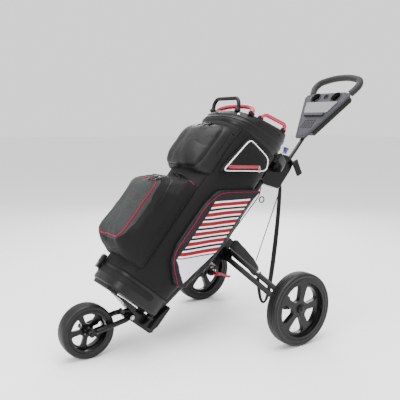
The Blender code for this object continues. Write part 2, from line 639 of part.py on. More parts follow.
def divider(lean):
    """The club divider in the mouth: a padded grid of nine cells."""
    a, front, back = 0.1255, -0.1365, 0.1135
    rings = [oval(a, front, back, 0.866, COLLAR_RIM_SLOPE), oval(a, front, back, 0.884, COLLAR_RIM_SLOPE)]
    grid = add("club_divider", loft(rings), "plastic", lean)
    cell_x, cell_y = (-0.078, 0.0, 0.078), (-0.091, -0.0120, 0.067)
    for x in cell_x:
        for y in cell_y:
            half_x, half_y = 0.033, 0.033
            if x and y != cell_y[1]:
                half_x, half_y = 0.029, 0.029
            corners = [(x - half_x, y - half_y), (x + half_x, y - half_y), (x + half_x, y + half_y),
                       (x - half_x, y + half_y)]
            cell = prism(rounded(corners, 0.014, 2), 0.30, Matrix.Translation((0, 0, 0.75)))
            combine(grid, cell, "DIFFERENCE")


def rim_height(y):
    """The height of the collar's rim at a depth y in the bag's frame."""
    return COLLAR_RIM + COLLAR_RIM_SLOPE * y


def bag_handles(lean):
    """The black lift handle in front, the red one across the mouth, and the red one at the left."""
    y = -0.1445
    foot = rim_height(y) + 0.0045
    points = [(0.086, y, foot), (0.086, y - 0.006, foot + 0.010)]
    points += arc((0.056, foot + 0.012), 0.030, 10, 90, 5, lambda u, v: (u, y - 0.008 - 0.5 * (v - foot - 0.012), v))
    bent_tube("front_handle", points + [(-px, py, pz) for px, py, pz in reversed(points)], 0.0080, "plastic", lean,
              sides=2)
    y = -0.1080
    foot = rim_height(y) + 0.0045
    points = [(0.1285, y, foot), (0.124, y, foot + 0.014), (0.104, y, foot + 0.030), (0.060, y, foot + 0.038),
              (0.0, y, foot + 0.040)]
    bent_tube("red_mouth_handle", points + [(-px, py, pz) for px, py, pz in reversed(points[:-1])], 0.0095, "red",
              lean, sides=2)
    x = 0.1310
    ends = ((-0.062, 0.0050), (-0.060, 0.018), (-0.048, 0.028), (0.050, 0.030), (0.062, 0.020), (0.064, 0.0050))
    bent_tube("side_handle", [(x, py, rim_height(py) + lift) for py, lift in ends], 0.0080, "red", lean, sides=2)


def pockets(lean):
    """The pockets sewn to the body, each cut to lie on it."""
    rings = [slab(0.128, 0.105, 0.510, -0.120, 0.030), slab(0.124, 0.115, 0.490, -0.170, 0.032),
             slab(0.110, 0.130, 0.445, -0.225, 0.034), slab(0.100, 0.150, 0.425, -0.262, 0.036),
             slab(0.090, 0.166, 0.410, -0.273, 0.034)]
    ball = add("ball_pocket", loft(rings), "fabric", lean)
    rings = [slab(0.136, 0.535, 0.776, -0.105, 0.040), slab(0.129, 0.536, 0.768, -0.150, 0.045),
             slab(0.114, 0.546, 0.748, -0.187, 0.050), slab(0.092, 0.566, 0.722, -0.209, 0.050),
             slab(0.062, 0.596, 0.692, -0.219, 0.040)]
    cooler = add("cooler_pocket", loft(rings), "fabric", lean)
    side = [(0.120, 0.660), (0.020, 0.590), (-0.055, 0.530), (-0.072, 0.450), (-0.072, 0.260), (-0.045, 0.190),
            (0.030, 0.135), (0.070, 0.150), (0.108, 0.270), (0.122, 0.400)]
    outline = rounded(side, 0.012, 2)
    apparel = [
        add("left_apparel_pocket", prism(outline, 0.080, plane_x(0.080)), "fabric", lean, bevel=0.006, segments=2),
        add("right_apparel_pocket", prism(outline, 0.080, plane_x(-0.160)), "fabric", lean, bevel=0.006, segments=2),
    ]
    outline = rounded([(-0.070, 0.778), (-0.100, 0.585), (0.092, 0.726), (0.060, 0.778)], 0.014, 2)
    valuables = add("valuables_pocket", prism(outline, 0.080, plane_x(0.084)), "fabric", lean, bevel=0.006, segments=2)
    for pocket in (ball, cooler, *apparel, valuables):
        combine(pocket, body_cutter(GAP), "DIFFERENCE", lean)


def band(x_scale, low, high, start, end, offset, thick, steps=22):
    """Part of a ring round the bag's base, from one angle to another."""
    _, a, front, back = BODY[0]
    middle, half_depth = (front + back) / 2, (back - front) / 2
    rings = []
    for i in range(steps + 1):
        angle = math.radians(start + (end - start) * i / steps)
        c, s = math.cos(angle), math.sin(angle)
        unit_x = math.copysign(abs(c) ** (2 / 3), c)
        unit_y = math.copysign(abs(s) ** (2 / 3), s)
        inner = ((a * x_scale + offset) * unit_x, middle + (half_depth + offset) * unit_y)
        outer = ((a * x_scale + offset + thick) * unit_x, middle + (half_depth + offset + thick) * unit_y)
        rings.append([(*inner, low), (*outer, low), (*outer, high), (*inner, high)])
    return loft(rings)


def straps(lean):
    """The strap round the bag's base with its buckle, and the shoulder strap behind the frame."""
    strap = add("base_strap", band(1.0, 0.036, 0.062, -188, 8, 0.0012, 0.003), "fabric", lean)
    buckle = rounded([(-0.098, 0.040), (-0.052, 0.040), (-0.052, 0.098), (-0.098, 0.098)], 0.008, 2)
    shape = prism(buckle, 0.016, plane_y(-0.1865))
    bmesh.ops.rotate(shape, cent=(-0.073, -0.1785, 0.05), matrix=Matrix.Rotation(math.radians(-18), 3, "Z"),
                     verts=shape.verts)
    combine(strap, shape, "UNION")


def ribbon(points, widths, half_thick):
    """A flat strap in the plane x = 0 that follows points of (y, z), with a width at each."""
    left, right = [], []
    for i, (y, z) in enumerate(points):
        before, after = points[max(i - 1, 0)], points[min(i + 1, len(points) - 1)]
        along = Vector((after[0] - before[0], after[1] - before[1])).normalized()
        side = Vector((-along.y, along.x)) * widths[i] / 2
        left.append((y + side.x, z + side.y))
        right.append((y - side.x, z - side.y))
    return prism(left + right[::-1], 2 * half_thick, plane_x(-half_thick))


def shoulder_strap(frame):
    """Webbing that hangs from the housing, turns up at the bottom, and ends in a wide pad."""
    points = [(0.197, 0.600), (0.194, 0.560), (0.189, 0.460), (0.176, 0.330), (0.158, 0.200), (0.146, 0.130),
              (0.134, 0.075), (0.118, 0.052), (0.100, 0.058), (0.088, 0.090), (0.080, 0.140), (0.072, 0.186)]
    widths = [0.020, 0.024, 0.026, 0.030, 0.030, 0.028, 0.020, 0.016, 0.016, 0.018, 0.020, 0.026]
    add("shoulder_strap", ribbon(points, widths, 0.0020), "fabric", frame)
    points = [(0.069, 0.192), (0.058, 0.215), (0.030, 0.250), (-0.020, 0.303), (-0.062, 0.345), (-0.072, 0.356)]
    widths = [0.030, 0.050, 0.060, 0.062, 0.056, 0.034]
    add("strap_pad", ribbon(points, widths, 0.0070), "fabric", frame)


def cords(frame):
    """Two elastic cords behind the frame, and the ring on the first."""
    bent_tube("front_bungee", [(0.0, 0.084, 0.590), (0.0, 0.076, 0.550), (0.0, -0.060, 0.411)], 0.0016,
              "fabric", frame)
    bent_tube("rear_bungee", [(0.012, 0.177, 0.550), (0.012, 0.113, 0.400), (0.012, 0.054, 0.260)], 0.0016,
              "fabric", frame)
    ring = arc((0.090, 0.531), 0.013, 0, 337.5, 15, lambda u, v: (0.0, u, v))
    bent_tube("towel_ring", ring, 0.0022, "steel", frame, closed=True)


def main():
    for item in list(bpy.data.objects):
        bpy.data.objects.remove(item, do_unlink=True)
    frame = empty("cart", None, (0, ORIGIN_Y, 0))
    lean = empty("leaning_frame", frame, (0, BASE_Y, BASE_Z), LEAN - math.pi / 2)
    tubes(lean)
    leg_hub(frame, lean)
    for side, sign in (("left", 1), ("right", -1)):
        leg(side, sign, frame)
    lower_bracket(lean)
    front_end(frame)
    upper_housing(lean)
    clamp_lever(frame)
    tension_knob(frame)
    handle(frame)
    brake(frame)
    bag_body(lean)
    divider(lean)
    bag_handles(lean)
    pockets(lean)
    straps(lean)
    shoulder_strap(frame)
    cords(frame)


main()
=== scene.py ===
# %% [markdown]
# A golf bag on a three-wheel push cart, as a lesson in Blender. The imported model gives every piece its place, so the
# lesson starts by loading it. Everything made later has to stay inside that box.

# %% Load the frame
import json
import math
import bmesh
import bpy
import numpy as np
from mathutils import Matrix, Vector, noise
from mathutils.bvhtree import BVHTree
from mathutils.kdtree import KDTree

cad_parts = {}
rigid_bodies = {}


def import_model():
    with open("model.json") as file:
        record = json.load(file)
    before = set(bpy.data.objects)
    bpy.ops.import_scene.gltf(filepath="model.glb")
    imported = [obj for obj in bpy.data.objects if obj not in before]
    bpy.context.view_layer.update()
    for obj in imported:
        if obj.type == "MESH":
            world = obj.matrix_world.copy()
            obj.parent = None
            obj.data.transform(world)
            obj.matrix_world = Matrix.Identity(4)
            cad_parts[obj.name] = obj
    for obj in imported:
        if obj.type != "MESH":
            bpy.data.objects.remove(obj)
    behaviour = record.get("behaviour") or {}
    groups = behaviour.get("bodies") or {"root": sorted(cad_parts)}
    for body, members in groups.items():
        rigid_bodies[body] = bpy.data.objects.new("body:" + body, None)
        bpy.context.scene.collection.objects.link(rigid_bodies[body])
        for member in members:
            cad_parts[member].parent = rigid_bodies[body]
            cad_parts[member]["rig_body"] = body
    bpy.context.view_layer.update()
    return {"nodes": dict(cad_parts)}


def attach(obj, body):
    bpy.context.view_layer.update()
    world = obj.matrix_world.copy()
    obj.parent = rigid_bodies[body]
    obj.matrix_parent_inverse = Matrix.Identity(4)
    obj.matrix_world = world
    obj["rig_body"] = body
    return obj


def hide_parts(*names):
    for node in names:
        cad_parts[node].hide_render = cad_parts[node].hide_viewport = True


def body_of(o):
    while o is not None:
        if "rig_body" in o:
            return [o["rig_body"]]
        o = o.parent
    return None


for leftover in list(bpy.data.objects):
    bpy.data.objects.remove(leftover, do_unlink=True)
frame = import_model()

# %% [markdown]
# Two tilted frames help with placing. The bag leans 50 degrees from level and the handle 48.5 degrees, so each is
# turned back from upright by the rest of a right angle. A point in the bag's frame is (across, depth, height along the
# bag), and a matrix turns it into the cart's place. Slanted pieces could also be given in the cart's own axes, but then
# every number would hide the same slope.

# %% The leaning frames
BAG_TILT, HANDLE_TILT = math.radians(-40), math.radians(-41.5)
BAG_FOOT, HANDLE_FOOT = (0, -0.428, 0.170), (0, 0.367, 0.696)
REAR_AXLE, FRONT_AXLE = (0.3414, 0.128, 0.146), (0, -0.616, 0.1026)
BAG = Matrix.Translation(BAG_FOOT) @ Matrix.Rotation(BAG_TILT, 4, "X")
HANDLE = Matrix.Translation(HANDLE_FOOT) @ Matrix.Rotation(HANDLE_TILT, 4, "X")
# The cart's middle plane, with depth counted from the rear axle.
CART = Matrix.Translation((0, REAR_AXLE[1], 0))
SIDES = (("left", 1), ("right", -1))
# Levels of the bag's body: height, half width, front, back.
BODY = ((0.0753, 0.128, -0.176, 0.081), (0.20, 0.134, -0.172, 0.105), (0.40, 0.142, -0.165, 0.132),
        (0.62, 0.148, -0.162, 0.140), (0.7995, 0.150, -0.165, 0.138))
print("bag's base stands at", [round(v, 3) for v in BAG @ Vector((0, 0, 0))])


# %% [markdown]
# The camera stands at the cart's left front, a little above the bag, and looks slightly down. It could be aimed with a
# Track To constraint, but a point, two angles, a roll and a lens say where it is with nothing left to guess.

# %% Camera
def look(place, azimuth, pitch, roll, lens):
    eye = bpy.data.objects.new("camera", bpy.data.cameras.new("camera"))
    eye.data.lens = lens
    eye.data.clip_end = 100
    bpy.context.scene.collection.objects.link(eye)
    a, e = math.radians(azimuth), math.radians(pitch)
    back = Vector((math.sin(a) * math.cos(e), -math.cos(a) * math.cos(e), math.sin(e)))
    right = Vector((math.cos(a), math.sin(a), 0))
    turn = Matrix((right, back.cross(right), back)).transposed().to_4x4()
    eye.matrix_world = Matrix.Translation(place) @ turn @ Matrix.Rotation(math.radians(roll), 4, "Z")
    bpy.context.scene.camera = eye
    return eye


camera = look(place=(1.859, -1.357, 0.866), azimuth=56.18, pitch=7.96, roll=0.3, lens=49.59)
print("camera at", [round(v, 3) for v in camera.location])


# %% [markdown]
# A product studio has a pale floor, and broad soft lights that leave long clean highlights on black cloth and plastic.
# Three area lights do that: a large one over the cart, one in front and one behind, with a nearly white room round
# them. Point lights would be simpler, but their small hard highlights make cloth look like plastic.

# %% Studio
ROOM_LIGHT = 1.35


def panel_light(name, place, aim, size, power):
    lamp = bpy.data.objects.new(name, bpy.data.lights.new(name, "AREA"))
    lamp.data.shape = "RECTANGLE"
    lamp.data.size, lamp.data.size_y = size
    lamp.data.energy = power
    lamp.location = place
    lamp.rotation_euler = (Vector(aim) - Vector(place)).to_track_quat("-Z", "Y").to_euler()
    bpy.context.scene.collection.objects.link(lamp)


# Name, place, aim, width and height in metres, watts.
for lamp in (("overhead", (0.3, -0.3, 3.0), (0, 0, 0.4), (2.6, 2.6), 150),
             ("front_left", (1.2, -3.0, 1.7), (0, -0.1, 0.5), (1.2, 1.6), 75),
             ("behind", (-2.2, 1.6, 1.8), (0, 0, 0.6), (1.4, 1.8), 60)):
    panel_light(*lamp)
room = bpy.data.worlds.new("studio_room")
room.use_nodes = True
backdrop = room.node_tree.nodes["Background"]
backdrop.inputs["Color"].default_value = (1, 1, 1, 1)
backdrop.inputs["Strength"].default_value = ROOM_LIGHT
bpy.context.scene.world = room


# %% [markdown]
# Materials are graphs of nodes. Three small helpers keep the lines short: put adds a node and links or sets its
# sockets, calc adds a Math node, and blend_colour mixes two colours by a mask.

# %% Node helpers
def put(tree, kind, sockets=None, **settings):
    node = tree.nodes.new(kind)
    for key, value in settings.items():
        setattr(node, key, value)
    for key, value in (sockets or {}).items():
        if isinstance(value, bpy.types.NodeSocket):
            tree.links.new(value, node.inputs[key])
        else:
            node.inputs[key].default_value = value
    return node


def calc(tree, operation, a, b=0.0, c=0.0, clamp=False):
    return put(tree, "ShaderNodeMath", {0: a, 1: b, 2: c}, operation=operation, use_clamp=clamp).outputs[0]


def blend_colour(tree, mask, low, high):
    """low where the mask is 0 and high where it is 1. A Mix node's colour sockets are 6, 7 and, as output, 2."""
    low, high = [(*v, 1) if isinstance(v, tuple) else v for v in (low, high)]
    return put(tree, "ShaderNodeMix", {0: mask, 6: low, 7: high}, data_type="RGBA").outputs[2]


def smooth_step(tree, value, start, end):
    """0 before start and 1 after end, with a soft ramp between."""
    return put(tree, "ShaderNodeMapRange", {0: value, 1: start, 2: end, 3: 0.0, 4: 1.0},
               interpolation_type="SMOOTHSTEP").outputs[0]


print("helpers ready")


# %% [markdown]
# Bag cloth is a thick polyester weave. Up close it shows small crossed threads, and further away a soft mottled tone
# with creases that catch the light. An image texture could hold all that, but it needs unwrapped pieces. One node group
# makes the height and the tone from the place on the piece, and each cloth uses it with its own thread size.

# %% Node group: weave
THREAD_RELIEF, CREASE_RELIEF = 0.20, 24.0
THREAD_TONE, CLOUD_TONE = 0.10, 0.9


def new_group(name, inputs, outputs):
    tree = bpy.data.node_groups.new(name, "ShaderNodeTree")
    for label, value in inputs:
        tree.interface.new_socket(label, in_out="INPUT", socket_type="NodeSocketFloat").default_value = value
    for label, kind in outputs:
        tree.interface.new_socket(label, in_out="OUTPUT", socket_type=f"NodeSocket{kind}")
    return tree, tree.nodes.new("NodeGroupInput"), tree.nodes.new("NodeGroupOutput")


weave, took, gave = new_group("bag_cloth_weave", [("Threads", 2600.0), ("Crease", 0.5)],
                              [("Height", "Float"), ("Tone", "Float")])
place = weave.nodes.new("ShaderNodeTexCoord").outputs["Object"]
axes = put(weave, "ShaderNodeSeparateXYZ", {0: place}).outputs
waves = [calc(weave, "SINE", calc(weave, "MULTIPLY", axis, took.outputs["Threads"])) for axis in axes]
pairs = [calc(weave, "MULTIPLY", waves[i], waves[(i + 1) % 3]) for i in range(3)]
threads = calc(weave, "ADD", calc(weave, "ADD", pairs[0], pairs[1]), pairs[2])
folds = put(weave, "ShaderNodeTexNoise", {"Vector": place, "Scale": 16.0, "Detail": 3.0, "Distortion": 0.8})
cloud = put(weave, "ShaderNodeTexNoise", {"Vector": place, "Scale": 5.0, "Detail": 5.0})
creased = calc(weave, "MULTIPLY", folds.outputs["Fac"],
               calc(weave, "MULTIPLY", took.outputs["Crease"], CREASE_RELIEF))
height = calc(weave, "ADD", calc(weave, "MULTIPLY", threads, THREAD_RELIEF), creased)
tone = calc(weave, "ADD", calc(weave, "MULTIPLY", threads, THREAD_TONE),
            calc(weave, "MULTIPLY", cloud.outputs["Fac"], CLOUD_TONE), clamp=True)
weave.links.new(height, gave.inputs["Height"])
weave.links.new(tone, gave.inputs["Tone"])
print("weave group:", len(weave.nodes), "nodes")

# %% [markdown]
# Moulded plastic and painted tube have a fine pebbled skin, a little dust on their upper faces, and small scuffs. Each
# material could hold its own noise nodes, but they all need the same three, so a second group gives the grain's height,
# a scuff mask and a dust mask.

# %% Node group: moulded skin
skin, took, gave = new_group("moulded_skin", [("Grain", 900.0), ("Scuffs", 0.3)],
                             [("Height", "Float"), ("Scuff", "Float"), ("Dust", "Float")])
place = skin.nodes.new("ShaderNodeTexCoord").outputs["Object"]
grain = put(skin, "ShaderNodeTexNoise", {"Vector": place, "Scale": took.outputs["Grain"], "Detail": 2.0})
marks = put(skin, "ShaderNodeTexNoise", {"Vector": place, "Scale": 42.0, "Detail": 8.0, "Roughness": 0.7})
scuff = calc(skin, "MULTIPLY", smooth_step(skin, marks.outputs["Fac"], 0.55, 0.72), took.outputs["Scuffs"])
up = put(skin, "ShaderNodeSeparateXYZ", {0: skin.nodes.new("ShaderNodeNewGeometry").outputs["Normal"]}).outputs[2]
cloud = put(skin, "ShaderNodeTexNoise", {"Vector": place, "Scale": 9.0, "Detail": 6.0})
dust = calc(skin, "MULTIPLY", smooth_step(skin, up, 0.2, 1.0), cloud.outputs["Fac"])
for socket, value in (("Height", grain.outputs["Fac"]), ("Scuff", scuff), ("Dust", dust)):
    skin.links.new(value, gave.inputs[socket])
print("moulded skin group:", len(skin.nodes), "nodes")


# %% [markdown]
# Each finish is a Principled shader fed by a group. Building every material by hand would repeat the same links twenty
# times, so cloth_finish and moulded_finish make one from a colour, a lighter tone of it and a few numbers. Values that
# don't change over the surface are set straight on the shader.

# %% Helpers: finishes
CLOTH_THREADS, CLOTH_RELIEF = 2600.0, 0.0004


def shader_of(name, **values):
    made = bpy.data.materials.new(name)
    made.use_nodes = True
    shader = made.node_tree.nodes["Principled BSDF"]
    for key, value in values.items():
        shader.inputs[key.replace("_", " ")].default_value = value
    return made, made.node_tree, shader


def bump_into(tree, shader, height, distance, strength):
    bumped = put(tree, "ShaderNodeBump", {"Height": height, "Distance": distance, "Strength": strength})
    tree.links.new(bumped.outputs[0], shader.inputs["Normal"])


def woven_shader(name, threads, crease, gloss, fuzz=0.45):
    """A cloth's shader, with the weave group beside it."""
    made, tree, shader = shader_of(name, Sheen_Weight=0.02, Sheen_Roughness=fuzz, Specular_IOR_Level=gloss)
    group = put(tree, "ShaderNodeGroup", {"Threads": threads, "Crease": crease}, node_tree=weave)
    return made, tree, shader, group


def dress(tree, shader, group, colour, rough, relief=CLOTH_RELIEF):
    """Gives a cloth its colour, a roughness between two values that follows its tone, and its relief."""
    tree.links.new(colour, shader.inputs["Base Color"])
    worn = put(tree, "ShaderNodeMapRange", {0: group.outputs["Tone"], 3: rough[1], 4: rough[0]})
    tree.links.new(worn.outputs[0], shader.inputs["Roughness"])
    bump_into(tree, shader, group.outputs["Height"], relief, 0.6)


def cloth_finish(name, dark, light, threads=CLOTH_THREADS, crease=0.5, rough=(0.5, 0.75), gloss=0.14):
    made, tree, shader, group = woven_shader(name, threads, crease, gloss)
    dress(tree, shader, group, blend_colour(tree, group.outputs["Tone"], dark, light), rough)
    return made


def moulded_finish(name, dark, light, rough=0.4, metallic=0.0, grain=900.0, scuffs=0.3, depth=0.00006, coat=0.0,
                   gloss=0.5):
    made, tree, shader = shader_of(name, Metallic=metallic, Coat_Weight=coat, Coat_Roughness=0.15,
                                   Specular_IOR_Level=gloss)
    group = put(tree, "ShaderNodeGroup", {"Grain": grain, "Scuffs": scuffs}, node_tree=skin)
    mask = calc(tree, "ADD", calc(tree, "MULTIPLY", group.outputs["Dust"], 0.45), group.outputs["Scuff"], clamp=True)
    tree.links.new(blend_colour(tree, mask, dark, light), shader.inputs["Base Color"])
    tree.links.new(calc(tree, "ADD", rough, calc(tree, "MULTIPLY", mask, 0.22), clamp=True),
                   shader.inputs["Roughness"])
    bump_into(tree, shader, group.outputs["Height"], depth, 0.8)
    return made


print("finish helpers ready")

# %% [markdown]
# The bag is sewn from a matt black cloth, a slightly shinier one on the cooler pocket, a satin trim and webbing. Cords
# and foam take the same helper, because a coated cord or a foam sleeve is also a close, even grain. Black cloth is very
# dark: a base colour that looks black in the picker still renders as grey under these lights.

# %% Cloth finishes
BLACK_CLOTH = ((0.0026, 0.0026, 0.0028), (0.0075, 0.0075, 0.0080))
SATIN_TRIM = ((0.0035, 0.0032, 0.0042), (0.010, 0.009, 0.012))
black_cloth = cloth_finish("black_cloth", *BLACK_CLOTH)
cooler_cloth = cloth_finish("cooler_cloth", (0.0028, 0.0028, 0.0030), (0.0090, 0.0090, 0.0095), rough=(0.38, 0.58),
                            gloss=0.22)
satin_trim = cloth_finish("satin_trim", *SATIN_TRIM, rough=(0.35, 0.5), crease=0.2, gloss=0.25)
webbing = cloth_finish("webbing", (0.0030, 0.0030, 0.0032), (0.009, 0.009, 0.010), threads=1300.0, crease=0.05)
crimson_cord = cloth_finish("crimson_cord", (0.150, 0.0, 0.016), (0.27, 0.0010, 0.034), crease=0.0, rough=(0.35, 0.5))
white_cord = cloth_finish("white_cord", (0.80, 0.80, 0.80), (0.95, 0.95, 0.95), crease=0.0, rough=(0.35, 0.45))
black_cord = cloth_finish("black_cord", (0.0022, 0.0022, 0.0024), (0.006, 0.006, 0.0065), crease=0.0,
                          rough=(0.4, 0.55))
grip_foam = cloth_finish("grip_foam", (0.0060, 0.0060, 0.0062), (0.020, 0.020, 0.021), threads=1700.0, crease=0.06,
                         rough=(0.5, 0.7), gloss=0.3)
print("cloth finishes:", len(bpy.data.materials))

# %% [markdown]
# Plastics, paint and metal share the other helper. They differ by colour, by how rough they are, and by a thin clear
# coat on paint and on the red pieces. Zinc is the only metal, so it alone has a metallic value.

# %% Plastic, paint and metal finishes
black_plastic = moulded_finish("black_plastic", (0.0035, 0.0035, 0.0037), (0.016, 0.016, 0.017), gloss=0.22)
gloss_plastic = moulded_finish("gloss_plastic", (0.0025, 0.0025, 0.0027), (0.012, 0.012, 0.013), rough=0.25,
                               gloss=0.25)
black_paint = moulded_finish("black_paint", (0.0030, 0.0030, 0.0033), (0.014, 0.014, 0.015), rough=0.28, coat=0.1,
                             grain=1500.0, depth=0.00003, gloss=0.25)
console_grey = moulded_finish("console_grey", (0.021, 0.021, 0.026), (0.042, 0.042, 0.050), rough=0.42, scuffs=0.12,
                              gloss=0.3)
card_panel = moulded_finish("card_panel", (0.15, 0.15, 0.165), (0.21, 0.21, 0.23), rough=0.35, scuffs=0.15, coat=0.2,
                            gloss=0.3)
zinc = moulded_finish("zinc", (0.42, 0.42, 0.43), (0.62, 0.62, 0.62), rough=0.3, metallic=1.0, depth=0.00002)
gloss_red = moulded_finish("gloss_red", (0.27, 0.0, 0.010), (0.40, 0.004, 0.03), rough=0.26, scuffs=0.1, coat=0.3)
handle_red = moulded_finish("handle_red", (0.38, 0.0015, 0.035), (0.56, 0.03, 0.10), rough=0.35, scuffs=0.15,
                            coat=0.2)
knob_purple = moulded_finish("knob_purple", (0.055, 0.038, 0.21), (0.10, 0.08, 0.30), rough=0.3, scuffs=0.1, coat=0.3)
# Painted shade: a near-black finish for the discs that stand in for the shadow inside the console's holes.
painted_hole_shade = moulded_finish("painted_hole_shade", (0.0012, 0.0012, 0.0013), (0.003, 0.003, 0.003), rough=0.7, gloss=0.1)
print(len(bpy.data.materials), "finishes")

# %% [markdown]
# Tyres are matt rubber. A bump map could draw the side rings and the tread's grooves, but it would leave the tyre's
# outline smooth. The mesh makes them, so the material only adds the rubber's pale bloom and a fine grain.

# %% Rubber
rubber = moulded_finish("rubber", (0.0040, 0.0040, 0.0041), (0.014, 0.014, 0.0135), rough=0.42, grain=500.0,
                        scuffs=0.5, depth=0.00012, gloss=0.3)
print("rubber ready")

# %% [markdown]
# The side pocket is printed: six bands of white, red, white and black above a plain pale field, inside a dark trim. It
# could be a picture on an unwrapped pocket, but the bands are level when the bag leans, so they simply read the height
# in the cart's frame, and the trim follows the bag's own slope. Each edge is a mask, and the masks are multiplied
# together.

# %% Printed stripes
# A band's height in metres, and where white, red and white end inside it, as shares of it.
BAND, WHITE_LOW, RED_LOW, WHITE_END = 0.0345, 0.195, 0.60, 0.77
STRIPE_TOP, FIELD_TOP = 0.569, 0.3655
# The field's lower edges. Going down, the back one moves forwards and the front one backwards.
BACK_SLOPE, BACK_FOOT, FRONT_SLOPE, FRONT_FOOT = 0.678, (-0.292, 0.274), 0.273, (-0.320, 0.362)
SOFT_BAND, SOFT_EDGE = 0.03, 0.001


def bag_place(tree):
    """A point's place on the piece, its parts, and its depth and height in the bag's frame, as sockets."""
    at = tree.nodes.new("ShaderNodeTexCoord").outputs["Object"]
    parts = put(tree, "ShaderNodeSeparateXYZ", {0: at}).outputs
    y, z = (calc(tree, "SUBTRACT", parts[i], BAG_FOOT[i]) for i in (1, 2))
    c, s = math.cos(-BAG_TILT), math.sin(-BAG_TILT)
    depth = calc(tree, "SUBTRACT", calc(tree, "MULTIPLY", y, c), calc(tree, "MULTIPLY", z, s))
    height = calc(tree, "ADD", calc(tree, "MULTIPLY", y, s), calc(tree, "MULTIPLY", z, c))
    return at, parts, depth, height


def printed_side(name):
    made, tree, shader, group = woven_shader(name, CLOTH_THREADS, 0.35, gloss=0.18, fuzz=0.4)
    at, (_, y, z), depth, _ = bag_place(tree)
    wander = put(tree, "ShaderNodeTexNoise", {"Vector": at, "Scale": 7.0, "Detail": 1.0}).outputs["Fac"]
    level = calc(tree, "ADD", z, calc(tree, "MULTIPLY", calc(tree, "SUBTRACT", wander, 0.5), 0.010))
    part = calc(tree, "FRACT", calc(tree, "DIVIDE", calc(tree, "SUBTRACT", STRIPE_TOP, level), BAND))
    red = calc(tree, "MULTIPLY", smooth_step(tree, part, WHITE_LOW - SOFT_BAND, WHITE_LOW + SOFT_BAND),
               smooth_step(tree, part, RED_LOW + SOFT_BAND, RED_LOW - SOFT_BAND))
    white = calc(tree, "MULTIPLY", smooth_step(tree, part, 0.0, SOFT_BAND),
                 smooth_step(tree, part, WHITE_END + SOFT_BAND, WHITE_END - SOFT_BAND))
    printed = blend_colour(tree, white, (0.0040, 0.0040, 0.0060), (0.76, 0.73, 0.74))
    printed = blend_colour(tree, red, printed, (0.21, 0.0, 0.008))
    in_field = smooth_step(tree, level, FIELD_TOP + SOFT_EDGE, FIELD_TOP - SOFT_EDGE)
    printed = blend_colour(tree, in_field, printed, (0.70, 0.66, 0.72))
    back_line = calc(tree, "ADD", calc(tree, "MULTIPLY", y, BACK_SLOPE), BACK_FOOT[1] - BACK_SLOPE * BACK_FOOT[0])
    low_back = calc(tree, "SUBTRACT", level, back_line)
    low_front = calc(tree, "ADD", calc(tree, "SUBTRACT", y, FRONT_FOOT[0]),
                     calc(tree, "MULTIPLY", calc(tree, "SUBTRACT", level, FRONT_FOOT[1]), FRONT_SLOPE))
    inside = smooth_step(tree, depth, -0.0430, -0.0410)
    for mask in (smooth_step(tree, depth, 0.0880, 0.0860),
                 smooth_step(tree, level, STRIPE_TOP + SOFT_EDGE, STRIPE_TOP),
                 smooth_step(tree, low_back, -SOFT_EDGE, SOFT_EDGE),
                 smooth_step(tree, low_front, -SOFT_EDGE, SOFT_EDGE)):
        inside = calc(tree, "MULTIPLY", inside, mask)
    trim = blend_colour(tree, group.outputs["Tone"], *SATIN_TRIM)
    dress(tree, shader, group, blend_colour(tree, inside, trim, printed), (0.45, 0.6), relief=0.0003)
    return made


striped_cloth = printed_side("striped_cloth")
print("stripes every", BAND * 1000, "mm")

# %% [markdown]
# The ball pocket's front panel is a lighter grey cloth set in the black one. It could be a second material on some of
# the faces, but the pocket's faces don't follow the panel's round corners. A mask by place does: inside a rounded
# rectangle on the front face the colour is grey, and elsewhere it is black.

# %% Grey front panel
PANEL_HALF, PANEL_LOW, PANEL_HIGH, PANEL_CORNER = 0.102, 0.150, 0.434, 0.046


def panelled_cloth(name):
    made, tree, shader, group = woven_shader(name, CLOTH_THREADS, 0.4, gloss=0.14)
    _, (x, _, _), depth, height = bag_place(tree)
    across = calc(tree, "SUBTRACT", calc(tree, "ABSOLUTE", x), PANEL_HALF - PANEL_CORNER)
    away = calc(tree, "ABSOLUTE", calc(tree, "SUBTRACT", height, (PANEL_LOW + PANEL_HIGH) / 2))
    along = calc(tree, "SUBTRACT", away, (PANEL_HIGH - PANEL_LOW) / 2 - PANEL_CORNER)
    squares = [calc(tree, "POWER", calc(tree, "MAXIMUM", way, 0.0), 2.0) for way in (across, along)]
    reach = calc(tree, "SQRT", calc(tree, "ADD", *squares))
    inside = calc(tree, "MULTIPLY", smooth_step(tree, reach, PANEL_CORNER + SOFT_EDGE, PANEL_CORNER),
                  smooth_step(tree, depth, -0.235, -0.245))
    grey = blend_colour(tree, group.outputs["Tone"], (0.018, 0.0195, 0.0195), (0.034, 0.036, 0.036))
    black = blend_colour(tree, group.outputs["Tone"], *BLACK_CLOTH)
    dress(tree, shader, group, blend_colour(tree, inside, black, grey), (0.55, 0.8))
    return made


ball_cloth = panelled_cloth("ball_pocket_cloth")
print("panel is", 2 * PANEL_HALF, "m wide")


# %% [markdown]
# Every finished piece goes through one helper. It makes the object at the origin, shades it smooth with sharp edges
# kept, gives it its finish, and lets it ride on the same body as the CAD piece that it stands for. The same
# lines could be written out for each piece, but a forgotten one would leave that piece behind when the cart folds.

# %% Helper: finished pieces
pieces_made = {}


def body_for(node):
    return body_of(frame["nodes"][node])[0]


def add_piece(name, mesh, finish, body, stands_for=(), angle=35):
    """Edges sharper than angle, in degrees, stay sharp."""
    if isinstance(mesh, bmesh.types.BMesh):
        shape, mesh = mesh, bpy.data.meshes.new(name)
        shape.to_mesh(mesh)
        shape.free()
    mesh.materials.clear()
    mesh.materials.append(finish)
    mesh.shade_smooth()
    mesh.set_sharp_from_angle(angle=math.radians(angle))
    made = bpy.data.objects.new(name, mesh)
    bpy.context.scene.collection.objects.link(made)
    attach(made, body)
    if stands_for:
        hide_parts(*stands_for)
    pieces_made[name] = made
    return made


